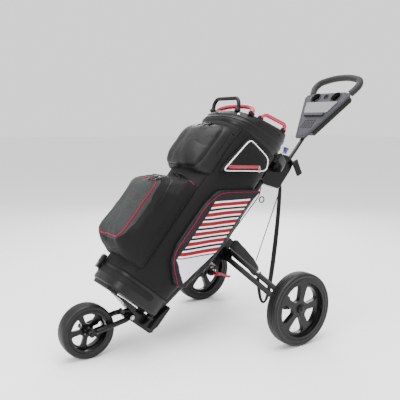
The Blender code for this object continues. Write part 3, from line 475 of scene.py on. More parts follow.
def merged_copy(node):
    """The CAD node's loose triangles joined into one skin. The node's own mesh isn't changed."""
    shape = bmesh.new()
    shape.from_mesh(frame["nodes"][node].data)
    bmesh.ops.remove_doubles(shape, verts=shape.verts, dist=0.00002)
    return shape


print("piece helper ready")

# %% [markdown]
# Hard pieces have the right shape in the CAD already, but their edges are knife sharp. A real moulding has a small
# round on each edge that draws a thin highlight. The shapes could be modelled again with rounds, but a copy is enough:
# merged, cleaned to whole faces, then given a Bevel and a Weighted Normal modifier.

# %% Rounded hard pieces
FLAT_WITHIN, SHARP_OVER = 0.6, 30  # degrees


def eased(node, finish, width):
    shape = merged_copy(node)
    bmesh.ops.dissolve_limit(shape, angle_limit=math.radians(FLAT_WITHIN), verts=shape.verts, edges=shape.edges)
    made = add_piece(f"{node}_eased", shape, finish, body_for(node), (node,), angle=SHARP_OVER)
    bevel = made.modifiers.new("Bevel", "BEVEL")
    bevel.width, bevel.segments = width, 2
    bevel.limit_method, bevel.angle_limit = "ANGLE", math.radians(SHARP_OVER)
    made.modifiers.new("WeightedNormal", "WEIGHTED_NORMAL").keep_sharp = False


for node in ("main_tube", "front_tube", "handle_tube", "front_fork"):
    eased(node, black_paint, 0.0006)
for side, _ in SIDES:
    for part, finish, slot, width in (
            ("leg_upper_bar", black_paint, "frame", 0.0012), ("leg_lower_bar", black_paint, "frame", 0.0012),
            ("wheel_bracket", black_paint, "frame", 0.0007), ("cradle_arm", black_plastic, "plastic", 0.0010),
            ("bag_arm", black_plastic, "plastic", 0.0010), ("ball_cup", black_plastic, "plastic", 0.0006),
            ("hub_cap", gloss_plastic, "plastic", 0.0006), ("rear_axle", zinc, "steel", 0.0004),
            ("fork_plate", black_paint, "steel", 0.0005)):
        eased(f"{side}_{part}", finish, width)
for node, finish, slot, width in (
        ("leg_hub", gloss_plastic, "plastic", 0.0010), ("lower_bracket", gloss_plastic, "plastic", 0.0010),
        ("upper_housing", gloss_plastic, "plastic", 0.0010), ("clamp_lever", gloss_plastic, "plastic", 0.0010),
        ("console_top", console_grey, "console", 0.0010), ("console_tray", black_plastic, "plastic", 0.0010),
        ("card_lid", card_panel, "card", 0.0006), ("brake_housing", black_plastic, "plastic", 0.0008),
        ("brake_pedal", gloss_red, "red", 0.0010), ("brake_pin", zinc, "steel", 0.0005),
        ("tension_knob", knob_purple, "purple", 0.0010), ("hinge_bolt", zinc, "steel", 0.0004),
        ("front_axle", zinc, "steel", 0.0004), ("club_divider", black_cloth, "plastic", 0.0020)):
    eased(node, finish, width)
print(len(pieces_made), "hard pieces eased")

# %% [markdown]
# A wheel's rim is moulded: a barrel, a web with five windows and a hub. The CAD has it, so its copy is eased. The tyre
# is different: the CAD's is a plain ring, and the real one has rounded shoulders, side rings and a grooved tread. A
# torus could stand for it, but it can't take grooves. So a section is drawn as a few vertices and spun about the axle.

# %% Helpers: tyres
def spun_ring(profile, steps, at):
    """A closed section of (across, radius) points, spun about the axle at a place."""
    shape = bmesh.new()
    points = [shape.verts.new((x, 0, r)) for x, r in profile]
    edges = [shape.edges.new((points[i - 1], points[i])) for i in range(len(points))]
    bmesh.ops.spin(shape, geom=points + edges, cent=(0, 0, 0), axis=(1, 0, 0), angle=math.tau, steps=steps,
                   use_merge=True)
    bmesh.ops.remove_doubles(shape, verts=shape.verts, dist=0.00001)
    bmesh.ops.recalc_face_normals(shape, faces=shape.faces)
    bmesh.ops.translate(shape, vec=at, verts=shape.verts)
    return shape


def tyre_section(half, inner, radius, grooves):
    """Side ring, shoulder and a crowned tread cut by round grooves."""
    side = [(half - 0.002, inner), (half, inner + 0.002), (half, inner + 0.006), (half - 0.0012, inner + 0.0075),
            (half - 0.0010, radius - 0.014), (half, radius - 0.0125), (half, radius - 0.0095),
            (half - 0.0014, radius - 0.0055), (half - 0.0045, radius - 0.0025)]
    tread = []
    for g in grooves:
        crown, floor_of_groove = radius - 0.0004 - 3 * g * g, radius - 0.0026
        tread += [(g + 0.0020, crown), (g + 0.0012, floor_of_groove), (g - 0.0012, floor_of_groove),
                  (g - 0.0020, crown)]
    half_section = side + tread
    return half_section + [(-x, r) for x, r in reversed(half_section)]


print("tyre helpers ready")

# %% [markdown]
# The two rear wheels are the same and the front one is smaller and wider. Each tyre's half width and two radii come
# from its CAD ring, so the grooved tyre fills the same space on the same rim.

# %% Wheels
REAR_TYRE, FRONT_TYRE = (0.028, 0.120, 0.146, (0.016, 0.0055)), (0.0313, 0.079, 0.1026, (0.018, 0.0060))
RIGHT_AXLE = (-REAR_AXLE[0], *REAR_AXLE[1:])
for side, section, steps, axle in (("left", REAR_TYRE, 96, REAR_AXLE), ("right", REAR_TYRE, 96, RIGHT_AXLE),
                                   ("front", FRONT_TYRE, 80, FRONT_AXLE)):
    eased(f"{side}_rim", gloss_plastic, 0.0008)
    add_piece(f"{side}_tyre_grooved", spun_ring(tyre_section(*section), steps, axle), rubber,
              f"{side}_wheel", (f"{side}_tyre",), angle=40)
print("tyre faces", len(pieces_made["left_tyre_grooved"].data.polygons))


# %% [markdown]
# The bag's body is a lofted shell. It could be a box rounded by Subdivision, but then its levels would drift. Instead a
# circle of 96 points is pushed out to a squared oval at each level, and its edge is extruded up level by level.

# %% Squared ovals
def oval_place(angle, half_width, front, back, power=3.0):
    c, s = math.cos(angle), math.sin(angle)
    return (half_width * math.copysign(abs(c) ** (2 / power), c),
            (front + back) / 2 + (back - front) / 2 * math.copysign(abs(s) ** (2 / power), s))


def body_level(height):
    """Half width, front and back of the body at a height along the bag."""
    height = min(max(height, BODY[0][0]), BODY[-1][0])
    for low, high in zip(BODY, BODY[1:]):
        if height <= high[0]:
            t = (height - low[0]) / (high[0] - low[0])
            return tuple(a + (b - a) * t for a, b in zip(low[1:], high[1:]))


def extruded_ovals(levels, count=96):
    """Rings of (half width, front, back, height, slope) joined into a tube, open at both ends."""
    shape = bmesh.new()
    ring = bmesh.ops.create_circle(shape, segments=count, radius=1)["verts"]
    angles = [math.atan2(v.co.y, v.co.x) for v in ring]
    edges = shape.edges[:]
    for i, (half_width, front, back, height, slope) in enumerate(levels):
        if i:
            made = bmesh.ops.extrude_edge_only(shape, edges=edges)["geom"]
            fresh = [v for v in made if isinstance(v, bmesh.types.BMVert)]
            edges = [e for e in made if isinstance(e, bmesh.types.BMEdge) and e.is_boundary]
            # Each new point still lies on the point that it was pulled from.
            found = {tuple(v.co): v for v in fresh}
            ring = [found[tuple(v.co)] for v in ring]
        for v, angle in zip(ring, angles):
            x, y = oval_place(angle, half_width, front, back)
            v.co = (x, y, height + slope * y)
    bmesh.ops.recalc_face_normals(shape, faces=shape.faces)
    return shape


print("oval helpers ready")

# %% [markdown]
# Cloth between stiffeners isn't straight, so the shell sags a little between them, with shallow creases from a fixed
# noise. A cloth simulation of the whole body would sag it too, but it could move the skin off the pockets sewn to it.

# %% Bag body
BODY_FOOT, BODY_TOP, BODY_RUN = BODY[0][0], 0.8005, 0.7247
SAG, CREASE_DEPTH = 0.0022, 0.0045


def body_shell():
    levels = []
    for i in range(49):
        t = i / 48
        height = BODY_FOOT + t * (BODY_TOP - BODY_FOOT)
        # Only the top quarter slopes, to meet the collar.
        levels.append((*body_level(height), height, 0.10 * max(0.0, (t - 0.75) / 0.25)))
    shape = extruded_ovals(levels)
    for v in shape.verts:
        t = (v.co.z - BODY_FOOT) / BODY_RUN
        sag = SAG * math.sin(math.pi * min(max(t, 0), 1)) ** 2
        fade = min(1, 6 * t, 6 * (1 - t))
        crease = CREASE_DEPTH * noise.noise(Vector((v.co.x * 12, v.co.y * 12, v.co.z * 6))) * fade
        out = Vector((v.co.x, v.co.y + 0.02, 0)).normalized()
        v.co -= out * (sag + max(crease, -0.001))
    bmesh.ops.transform(shape, matrix=BAG, verts=shape.verts)
    return shape


body = add_piece("bag_body_cloth", body_shell(), black_cloth, "cart_and_bag", ("bag_body",), angle=60)
wall = body.modifiers.new("Solidify", "SOLIDIFY")
wall.thickness, wall.offset = 0.0035, -1
print("body shell", len(body.data.polygons), "faces")

# %% [markdown]
# The base is a moulded cup with a thicker lip and a foot. A bevelled cylinder has no such lip, so it is the same kind
# of loft as the body, closed below with a cap of faces. Its foot is a small box with four rounded upright edges.

# %% Base cup
def cup_level(height, grow):
    _, half_width, front, back = BODY[0]
    return (half_width + grow, front - grow, back + grow, height, 0.0)


# Height and outward growth of each level: under the cup, up its side, over the lip and down inside.
cup = extruded_ovals([cup_level(height, grow) for height, grow in (
    (0.003, -0.030), (0.003, -0.010), (0.0055, -0.004), (0.010, -0.001), (0.013, 0.0), (0.066, 0.0), (0.068, 0.0012),
    (0.0745, 0.0012), (0.0758, -0.001), (0.0758, -0.006), (0.014, -0.006))])
bmesh.ops.holes_fill(cup, edges=[e for e in cup.edges if e.is_boundary], sides=0)
bmesh.ops.recalc_face_normals(cup, faces=cup.faces)
foot = bmesh.ops.create_cube(cup, size=1)["verts"]
bmesh.ops.scale(cup, vec=(0.120, 0.060, 0.013), verts=foot)
bmesh.ops.translate(cup, vec=(0, -0.138, -0.0020), verts=foot)
upright = {e for v in foot for e in v.link_edges if abs(e.verts[0].co.z - e.verts[1].co.z) > 0.01}
bmesh.ops.bevel(cup, geom=list(upright), offset=0.010, segments=4, affect="EDGES", profile=0.5, material=-1)
bmesh.ops.transform(cup, matrix=BAG, verts=cup.verts)
add_piece("bag_base_cup", cup, black_plastic, "cart_and_bag", ("bag_base",), angle=40)
print("base cup", len(pieces_made["bag_base_cup"].data.polygons), "faces")

# %% [markdown]
# The collar is a moulded ring that slopes with the mouth. It has ribs round it and a rolled lip. They could be separate
# rings, but on the real piece they are one moulding, so they are extra levels of the same loft, with an inner wall that
# goes back down.

# %% Collar
# Share of the collar's height, half width, front, back.
COLLAR = ((0.0, 0.1505, -0.1655, 0.1385), (0.25, 0.153, -0.167, 0.142), (0.7, 0.149, -0.162, 0.138),
          (1.0, 0.140, -0.151, 0.128))


def collar_level(t, grow=0.0):
    for low, high in zip(COLLAR, COLLAR[1:]):
        if t <= high[0] + 1e-6:
            u = (t - low[0]) / (high[0] - low[0])
            half_width, front, back = (p + (q - p) * u for p, q in zip(low[1:], high[1:]))
            return (half_width + grow, front - grow, back + grow, 0.800 + 0.100 * t, 0.10 + 0.23 * t)


# Share of the height and outward growth: a foot, three ribs, the rolled lip and its inner turn.
outside = [(0.0, -0.002), (0.03, 0.0), (0.10, 0.0), (0.14, 0.0016), (0.24, 0.0016), (0.28, -0.0012), (0.34, -0.0012),
           (0.38, 0.0012), (0.47, 0.0012), (0.51, -0.0014), (0.60, -0.0014), (0.64, 0.001), (0.90, 0.0012),
           (0.965, 0.0008), (0.995, -0.002), (1.0, -0.005), (0.995, -0.009), (0.965, -0.0118)]
levels = [collar_level(t, grow) for t, grow in outside]
levels.append((0.128, -0.139, 0.116, 0.802, 0.10))
collar = extruded_ovals(levels, 128)
bmesh.ops.bridge_loops(collar, edges=[e for e in collar.edges if e.is_boundary])
bmesh.ops.recalc_face_normals(collar, faces=collar.faces)
bmesh.ops.transform(collar, matrix=BAG, verts=collar.verts)
add_piece("bag_collar_ribbed", collar, black_plastic, "cart_and_bag", ("bag_collar",), angle=50)
print("collar", len(pieces_made["bag_collar_ribbed"].data.polygons), "faces")


# %% [markdown]
# The pockets are stuffed cloth, sewn to the body along their back. Moving points by hand gives lumps, so cloth
# simulation gives them their shape. A copy of each CAD pocket is remeshed to an even skin of small faces, because cloth
# bends badly on long ones, and the points that touch the body are kept as sewn.

# %% Helpers: an even skin
def to_bag(point):
    return BAG.inverted() @ Vector(point)


def near_body(point, margin):
    """Whether a point of the cart's frame lies on the body's skin or inside it."""
    x, y, z = to_bag(point)
    half_width, front, back = body_level(z)
    u, v = abs(x) / (half_width + margin), abs(y - (front + back) / 2) / ((back - front) / 2 + margin)
    return u**3 + v**3 < 1


def even_skin(name, node, voxel):
    """A work object whose mesh is the CAD node's shape in even faces, a little smoothed."""
    start = bpy.data.meshes.new(name)
    shape = merged_copy(node)
    bmesh.ops.recalc_face_normals(shape, faces=shape.faces)
    shape.to_mesh(start)
    shape.free()
    work = bpy.data.objects.new(f"{name}_work", start)
    bpy.context.scene.collection.objects.link(work)
    remesh = work.modifiers.new("Remesh", "REMESH")
    remesh.mode, remesh.voxel_size = "VOXEL", voxel
    skin_mesh = bpy.data.meshes.new_from_object(work.evaluated_get(bpy.context.evaluated_depsgraph_get()))
    work.modifiers.clear()
    work.data = skin_mesh
    even = bmesh.new()
    even.from_mesh(skin_mesh)
    for _ in range(3):
        bmesh.ops.smooth_vert(even, verts=even.verts, factor=0.5, use_axis_x=True, use_axis_y=True, use_axis_z=True)
    even.to_mesh(skin_mesh)
    even.free()
    return work


print("skin helpers ready")

# %% [markdown]
# Blender's Cloth then blows the skin up for twenty frames, with the sewn points pinned and gravity off, because the
# stuffing carries the pocket. Each point's travel is capped, so that the pocket stays in its box. The result is copied
# out and the modifier removed, so the pocket is an ordinary mesh that nothing has to play back.

# %% Helpers: stuffed pieces
BLOW_FRAMES = 20


def blown_up(work, pins, pressure):
    """Where the points of the skin are after the cloth has been blown up."""
    work.vertex_groups.new(name="sewn").add(pins, 1.0, "REPLACE")
    cloth = work.modifiers.new("Cloth", "CLOTH")
    cloth.settings.use_pressure, cloth.settings.uniform_pressure_force = True, pressure
    cloth.settings.effector_weights.gravity = 0
    cloth.settings.vertex_group_mass = "sewn"
    cloth.settings.quality = 5
    cloth.point_cache.frame_start, cloth.point_cache.frame_end = 1, BLOW_FRAMES
    for step in range(1, BLOW_FRAMES + 1):
        bpy.context.scene.frame_set(step)
    blown = work.evaluated_get(bpy.context.evaluated_depsgraph_get()).to_mesh()
    moved = np.array([v.co for v in blown.vertices])
    bpy.context.scene.frame_set(1)
    work.modifiers.clear()
    return moved


def stuffed(node, finish, voxel, cap, held, pressure=4.0, crease=0.005):
    """A remeshed and blown-up copy of a CAD node. held says which points are sewn down."""
    name = f"{node}_stuffed"
    work = even_skin(name, node, voxel)
    skin_mesh = work.data
    rest = np.array([v.co for v in skin_mesh.vertices])
    pins = [i for i, v in enumerate(skin_mesh.vertices) if held(v.co)]
    travel = blown_up(work, pins, pressure) - rest
    length = np.linalg.norm(travel, axis=1, keepdims=True)
    travel *= np.minimum(1.0, cap / np.maximum(length, 1e-9))
    for v, place in zip(skin_mesh.vertices, rest + travel):
        v.co = place
    # Soft creases from a fixed noise, stretched along the bag, as hand-stuffed cloth has.
    normals = [v.normal.copy() for v in skin_mesh.vertices]
    for v, normal in zip(skin_mesh.vertices, normals):
        x, y, z = to_bag(v.co)
        v.co += normal * crease * min(0.0, noise.noise(Vector((x * 22, y * 22, z * 9))))
    bpy.data.objects.remove(work)
    made = add_piece(name, skin_mesh, finish, body_for(node), (node,), angle=180)
    print(name, len(rest), "points,", len(pins), "sewn, moved up to", round(float(length.max()) * 1000, 1), "mm")
    return made


def seam(piece, path, depth, width):
    """Pulls the skin in along a sewn line, given as points on it."""
    nearest = KDTree(len(path))
    for i, p in enumerate(path):
        nearest.insert(p, i)
    nearest.balance()
    for v in piece.data.vertices:
        gap = nearest.find(v.co)[2]
        if gap < 3 * width:
            v.co -= v.normal * depth * math.exp(-((gap / width) ** 2))


def subdivided(piece, levels=1):
    finer = piece.modifiers.new("Subdivision", "SUBSURF")
    finer.levels = finer.render_levels = levels
    return piece


def sewn(point):
    return near_body(point, 0.006)


print("stuffing helpers ready")

# %% [markdown]
# Each pocket has its own face size and cap. The cooler is the roundest, so it takes the most pressure. The side pockets
# lie flat on the body, so their creases stay shallow and don't bend the printed stripes.

# %% Stuffed pockets
ball = stuffed("ball_pocket", ball_cloth, 0.0062, 0.008, sewn)
cooler = stuffed("cooler_pocket", cooler_cloth, 0.0060, 0.012, sewn, pressure=14.0)
apparel = {side: stuffed(f"{side}_apparel_pocket", striped_cloth, 0.0050, 0.007, sewn, crease=0.002)
           for side, _ in SIDES}
valuables = stuffed("valuables_pocket", black_cloth, 0.0042, 0.004, sewn, crease=0.001)
print("pockets stuffed:", len([n for n in pieces_made if "stuffed" in n]))


# %% [markdown]
# Piping is a thin coated cord sewn into a seam. A straight copy of the drawn path would sink into the cloth or hover
# over it, so each path is rounded, sampled finely, and every point is moved to the nearest place on the cloth. The
# cloth is pulled in along the same line, and the cord is a curve with a round bevel, made into a mesh at once.

# %% Helpers: paths and piping
def mirrored_path(half):
    return half + [(-x, y, z) for x, y, z in reversed(half) if x]


def rounded_path(corners, radius, closed, step=0.004):
    """A path through corners, each cut back by radius and joined by a curve, sampled every step."""
    corners = [Vector(c) for c in corners]
    path = []
    count = len(corners)
    for i, here in enumerate(corners):
        if not closed and i in (0, count - 1):
            path.append(here)
            continue
        before, after = corners[i - 1], corners[(i + 1) % count]
        a = here + (before - here).normalized() * min(radius, (before - here).length * 0.45)
        b = here + (after - here).normalized() * min(radius, (after - here).length * 0.45)
        path += [a * (1 - t) ** 2 + here * 2 * t * (1 - t) + b * t * t for t in (0, 0.17, 0.33, 0.5, 0.67, 0.83, 1)]
    if closed:
        path.append(path[0].copy())
    fine = []
    for p, q in zip(path, path[1:]):
        pieces = max(1, round((q - p).length / step))
        fine += [p.lerp(q, k / pieces) for k in range(pieces)]
    return fine if closed else fine + [path[-1]]


def surface_of(*pieces):
    """Search trees of the finished skins."""
    graph = bpy.context.evaluated_depsgraph_get()
    return [BVHTree.FromObject(piece, graph) for piece in pieces]


def laid_on(path, trees, lift=0.0):
    """A path in the bag's frame moved to the nearest skin and lifted off it, and the skin's normal at each point."""
    laid, normals = [], []
    for point in path:
        hit = min((tree.find_nearest(BAG @ point) for tree in trees), key=lambda h: h[3])
        laid.append(hit[0] + hit[1] * lift)
        normals.append(hit[1])
    for _ in range(2):
        laid = [p if i in (0, len(laid) - 1) else (laid[i - 1] + p * 2 + laid[i + 1]) / 4
                for i, p in enumerate(laid)]
    return laid, normals


def swept(name, path, radius, finish, body="cart_and_bag", closed=False, sides=2, stands_for=()):
    """A round cord along a path, as a mesh."""
    curve = bpy.data.curves.new(name, "CURVE")
    curve.dimensions, curve.bevel_depth, curve.bevel_resolution = "3D", radius, sides
    curve.use_fill_caps = True
    line = curve.splines.new("POLY")
    line.use_cyclic_u = closed
    line.points.add(len(path) - 1)
    for place, point in zip(line.points, path):
        place.co = (*point, 1)
    holder = bpy.data.objects.new(name, curve)
    bpy.context.scene.collection.objects.link(holder)
    mesh = bpy.data.meshes.new_from_object(holder.evaluated_get(bpy.context.evaluated_depsgraph_get()))
    bpy.data.objects.remove(holder)
    shape = bmesh.new()
    shape.from_mesh(mesh)
    bmesh.ops.remove_doubles(shape, verts=shape.verts, dist=0.00001)
    bmesh.ops.recalc_face_normals(shape, faces=shape.faces)
    return add_piece(name, shape, finish, body, stands_for, angle=50)


def piped(piece, path, groove, lift, name, radius, cord, closed=False):
    """Pulls the skin in along a path, by a groove's depth and width, subdivides it and lays a cord there."""
    line, _ = laid_on(path, surface_of(piece))
    seam(piece, line, *groove)
    subdivided(piece)
    line, _ = laid_on(path, surface_of(piece), lift)
    swept(name, line, radius, cord, closed=closed)


print("path helpers ready")

# %% [markdown]
# On the ball pocket a crimson cord runs round the grey panel. On the cooler a thinner black one runs round the front.
# Half of each outline is given and the other half mirrored, because both pockets sit in the bag's middle.

# %% Piping of the ball pocket and the cooler
front_panel = rounded_path(mirrored_path([(0.104, -0.268, 0.150), (0.100, -0.268, 0.434)]), 0.062, True)
piped(ball, front_panel, (0.003, 0.007), 0.0006, "ball_pocket_piping", 0.0026, crimson_cord, True)
cooler_edge = rounded_path(mirrored_path([(0.120, -0.175, 0.545), (0.120, -0.170, 0.765)]), 0.055, True)
piped(cooler, cooler_edge, (0.0035, 0.007), 0.0004, "cooler_piping", 0.0018, black_cord, True)
print("piping on", [n for n in pieces_made if "piping" in n])

# %% [markdown]
# A side pocket's cord follows the edge of the printed cloth, and the triangle's is thick and white. Both are given as
# depths and heights along the bag, at a distance that lies just outside the cloth, which draws them in.

# %% Piping of the side pockets
SIDE_LINE = [(0.111, 0.645), (0.010, 0.567), (-0.039, 0.528), (-0.065, 0.445), (-0.061, 0.344), (-0.066, 0.273),
             (-0.061, 0.226), (-0.042, 0.197), (0.037, 0.137)]
TRIANGLE = [(-0.066, 0.776), (-0.094, 0.592), (0.084, 0.728), (0.056, 0.775)]
for side, sign in SIDES:
    path = rounded_path([(sign * 0.158, y, z) for y, z in SIDE_LINE], 0.030, False)
    piped(apparel[side], path, (0.0015, 0.005), 0.0004, f"{side}_pocket_piping", 0.0013, crimson_cord)
triangle = rounded_path([(0.164, y, z) for y, z in TRIANGLE], 0.030, True)
piped(valuables, triangle, (0.0015, 0.005), 0.0008, "valuables_piping", 0.0024, white_cord, True)
print("side piping laid")

# %% [markdown]
# Handles are soft tubes and webbing loops. A torus segment would give one clean bend, but these have straight runs and
# corners of several sizes. So each is swept along a rounded path through the points that the CAD uses.

# %% Handles
def rim_height(y):
    """The mouth slopes: its height along the bag grows with depth."""
    return 0.900 + 0.33 * y


def arc(centre, radius, start, end, steps):
    angles = [math.radians(start + (end - start) * i / steps) for i in range(steps + 1)]
    return [(centre[0] + radius * math.cos(a), centre[1] + radius * math.sin(a)) for a in angles]


def handle_loop(name, place, corners, bend, radius, finish, node, body="cart_and_bag", sides=5):
    path = [place @ p for p in rounded_path(corners, bend, False)]
    return swept(name, path, radius, finish, body, sides=sides, stands_for=(node,))


y = -0.1445
low = rim_height(y) + 0.0045
half = [(0.086, y, low), (0.086, y - 0.006, low + 0.010)]
half += [(u, y - 0.008 - 0.5 * (v - low - 0.012), v) for u, v in arc((0.056, low + 0.012), 0.030, 10, 90, 8)]
handle_loop("front_handle_grip", BAG, mirrored_path(half), 0.008, 0.0080, black_plastic, "front_handle")
y = -0.1080
low = rim_height(y) + 0.0045
half = [(0.1285, y, low), (0.124, y, low + 0.014), (0.104, y, low + 0.030), (0.060, y, low + 0.038),
        (0.0, y, low + 0.040)]
handle_loop("red_mouth_handle_grip", BAG, mirrored_path(half), 0.020, 0.0095, handle_red, "red_mouth_handle")
ends = ((-0.062, 0.0050), (-0.060, 0.018), (-0.048, 0.028), (0.050, 0.030), (0.062, 0.020), (0.064, 0.0050))
corners = [(0.131, v, rim_height(v) + lift) for v, lift in ends]
handle_loop("side_handle_grip", BAG, corners, 0.012, 0.0080, handle_red, "side_handle")
half = [(0.116, -0.004, 0.4030), (0.126, -0.004, 0.418)]
half += [(u, -0.004, v) for u, v in arc((0.091, 0.452), 0.045, -12, 62, 8)]
half += [(0.070, -0.004, 0.505), (0.035, -0.004, 0.511), (0.0, -0.004, 0.512)]
grip = handle_loop("handle_grip_foam", HANDLE, mirrored_path(half), 0.020, 0.0155, grip_foam, "handle_grip",
                   "handle", sides=6)
print("handles made")

# %% [markdown]
# Straps are flat webbing. A swept curve would be round, so a short edge is extruded along a path instead. That makes a
# ribbon, solidify gives it a thickness, and Subdivision rounds its sides. The shoulder strap hangs edge-on behind the
# frame and ends in a pad.

# %% Straps
def ribbon(name, rows, thickness, finish, stands_for=()):
    """rows are pairs of points, one pair for each place along the strap."""
    shape = bmesh.new()
    first = [shape.verts.new(p) for p in rows[0]]
    edge = shape.edges.new(first)
    for row in rows[1:]:
        made = bmesh.ops.extrude_edge_only(shape, edges=[edge])["geom"]
        fresh = [v for v in made if isinstance(v, bmesh.types.BMVert)]
        ends = {tuple(v.co): v for v in fresh}
        pair = [ends[tuple(v.co)] for v in first]
        edge = next(e for e in made if isinstance(e, bmesh.types.BMEdge) and set(e.verts) == set(pair))
        for v, p in zip(pair, row):
            v.co = p
        first = pair
    bmesh.ops.subdivide_edges(shape, edges=[e for e in shape.edges if not e.is_boundary], cuts=1)
    bmesh.ops.recalc_face_normals(shape, faces=shape.faces)
    bmesh.ops.solidify(shape, geom=shape.faces[:], thickness=thickness)
    return subdivided(add_piece(name, shape, finish, "cart_and_bag", stands_for, angle=60))


def strap_rows(points, widths, place):
    rows = []
    path = [Vector(p) for p in points]
    for i, here in enumerate(path):
        along = (path[min(i + 1, len(path) - 1)] - path[max(i - 1, 0)]).normalized()
        side = Vector((-along.y, along.x)) * widths[i] / 2
        rows.append([place @ Vector((0.0, *(here + side))), place @ Vector((0.0, *(here - side)))])
    return rows


points = [(0.197, 0.600), (0.194, 0.560), (0.189, 0.460), (0.176, 0.330), (0.158, 0.200), (0.146, 0.130),
          (0.134, 0.075), (0.118, 0.052), (0.100, 0.058), (0.088, 0.090), (0.080, 0.140), (0.072, 0.186)]
widths = [0.020, 0.024, 0.026, 0.030, 0.030, 0.028, 0.020, 0.016, 0.016, 0.018, 0.020, 0.026]
ribbon("shoulder_strap_web", strap_rows(points, widths, CART), 0.0032, webbing, ("shoulder_strap",))
pad = stuffed("strap_pad", satin_trim, 0.0045, 0.003, held=lambda point: False, crease=0.001)
subdivided(pad)
print("straps made")

# %% [markdown]
# Two elastic cords hang behind the bag, and a ring for a towel hangs beside them. A torus would do for the ring, but it
# would have to be turned upright, and the sweep that makes the cords closes a round path just as well.

# %% Cords and ring
for name, corners in (("front_bungee", [(0, 0.084, 0.590), (0, 0.076, 0.550), (0, -0.060, 0.411)]),
                      ("rear_bungee", [(0.012, 0.177, 0.550), (0.012, 0.113, 0.400), (0.012, 0.054, 0.260)])):
    path = [CART @ Vector(p) for p in rounded_path(corners, 0.02, False)]
    swept(f"{name}_cord", path, 0.0022, black_cord, stands_for=(name,))
ring = [CART @ Vector((0, u, v)) for u, v in arc((0.090, 0.531), 0.013, 0, 348.75, 31)]
swept("towel_ring_round", ring, 0.0028, gloss_plastic, closed=True, sides=4, stands_for=("towel_ring",))
print("cords made")

# %% [markdown]
# The strap round the base is webbing that lies on the moulded cup, with a plastic buckle in front. Shrinkwrap could lay
# it there, but the cup's own oval, grown by the webbing's thickness, gives the same line with no fitting.

# %% Base strap
STRAP_GROW, STRAP_LOW, STRAP_HIGH = 0.0030, 0.036, 0.062
half_width, front, back = BODY[0][1:]
rows = []
for i in range(49):
    x, y = oval_place(math.radians(-188 + 196 * i / 48), half_width + STRAP_GROW, front - STRAP_GROW,
                      back + STRAP_GROW)
    rows.append([BAG @ Vector((x, y, STRAP_LOW)), BAG @ Vector((x, y, STRAP_HIGH))])
ribbon("base_strap_web", rows, 0.0026, webbing, ("base_strap",))
print("base strap made")

# %% [markdown]
# Sewn lines tell how the bag is cut: a long seam runs down each side, and each pocket is joined by a black flange. Bump
# could draw them, but they stand proud of the cloth and catch the light, so they are black cords laid on it in the same
# way as the piping.

# %% Body seams and flanges
on_body, on_ball, on_cooler, on_triangle = (surface_of(piece) for piece in (body, ball, cooler, valuables))
for side, sign in SIDES:
    path = rounded_path([(sign * 0.132, -0.142, 0.100), (sign * 0.140, -0.135, 0.50), (sign * 0.150, -0.118, 0.785)],
                        0.05, False)
    swept(f"{side}_body_seam", laid_on(path, on_body, 0.0012)[0], 0.0022, black_cord)
flange = rounded_path(mirrored_path([(0.131, -0.128, 0.110), (0.131, -0.126, 0.512)]), 0.035, True)
swept("ball_pocket_flange", laid_on(flange, on_ball, 0.0006)[0], 0.0022, black_cord, closed=True)
flange = rounded_path(mirrored_path([(0.140, -0.110, 0.535), (0.140, -0.108, 0.778)]), 0.045, True)
swept("cooler_flange", laid_on(flange, on_cooler, 0.0006)[0], 0.0022, black_cord, closed=True)
back_edge = rounded_path([(0.126, -0.140, 0.498), (0.108, -0.150, 0.510), (0.020, -0.150, 0.512)], 0.02, False)
swept("ball_pocket_back_piping", laid_on(back_edge, on_ball, 0.0010)[0], 0.0018, crimson_cord)
print("seams laid")

# %% [markdown]
# A zip is a flat tape with a raised row of teeth, and a puller that hangs from its slider. Single teeth would be
# smaller than a render shows, so the tape is a ribbon laid on the cloth and the teeth are a thin cord along its middle.

# %% Helpers: zips
def zip_tape(name, path, width, across, trees, finish, lift, teeth=None):
    """A tape laid on the cloth; across is its width's direction in the bag's frame."""
    across = Vector(across) * width / 2
    upper, _ = laid_on([p + across for p in path], trees, lift)
    lower, _ = laid_on([p - across for p in path], trees, lift)
    ribbon(name, list(zip(upper, lower)), 0.0012, finish)
    if teeth:
        middle, _ = laid_on(path, trees, lift + 0.0006)
        swept(f"{name}_teeth", middle, 0.0012, teeth)


def puller(name, place, trees, down, finish=gloss_plastic, size=1.35):
    """A slider with a long loop that lies on the cloth and points down."""
    (at,), (normal,) = laid_on([Vector(place)], trees, 0.002)
    down = (BAG.to_3x3() @ Vector(down)).normalized()
    down = (down - normal * down.dot(normal)).normalized()
    side = normal.cross(down)
    loop = []
    for i in range(20):
        a = math.tau * i / 20
        loop.append(at + normal * 0.0022 + down * size * (0.015 - 0.013 * math.cos(a))
                    + side * size * 0.0052 * math.sin(a))
    swept(f"{name}_loop", loop, 0.0015 * size, finish, closed=True)
    slider = bmesh.new()
    bmesh.ops.create_cube(slider, size=1)
    bmesh.ops.scale(slider, vec=(0.0085 * size, 0.0125 * size, 0.0045 * size), verts=slider.verts)
    bmesh.ops.bevel(slider, geom=slider.edges[:], offset=0.0012 * size, segments=2, affect="EDGES", profile=0.5,
                    material=-1)
    turn = Matrix((side, down, normal)).transposed().to_4x4()
    bmesh.ops.transform(slider, matrix=Matrix.Translation(at) @ turn, verts=slider.verts)
    add_piece(f"{name}_slider", slider, finish, "cart_and_bag")


print("zip helpers ready")

# %% [markdown]
# The triangle's zip hides under a broad red coated cover with a zinc puller. The ball pocket and the cooler have open
# zips round their fronts, with several black pullers that hang in a bunch.

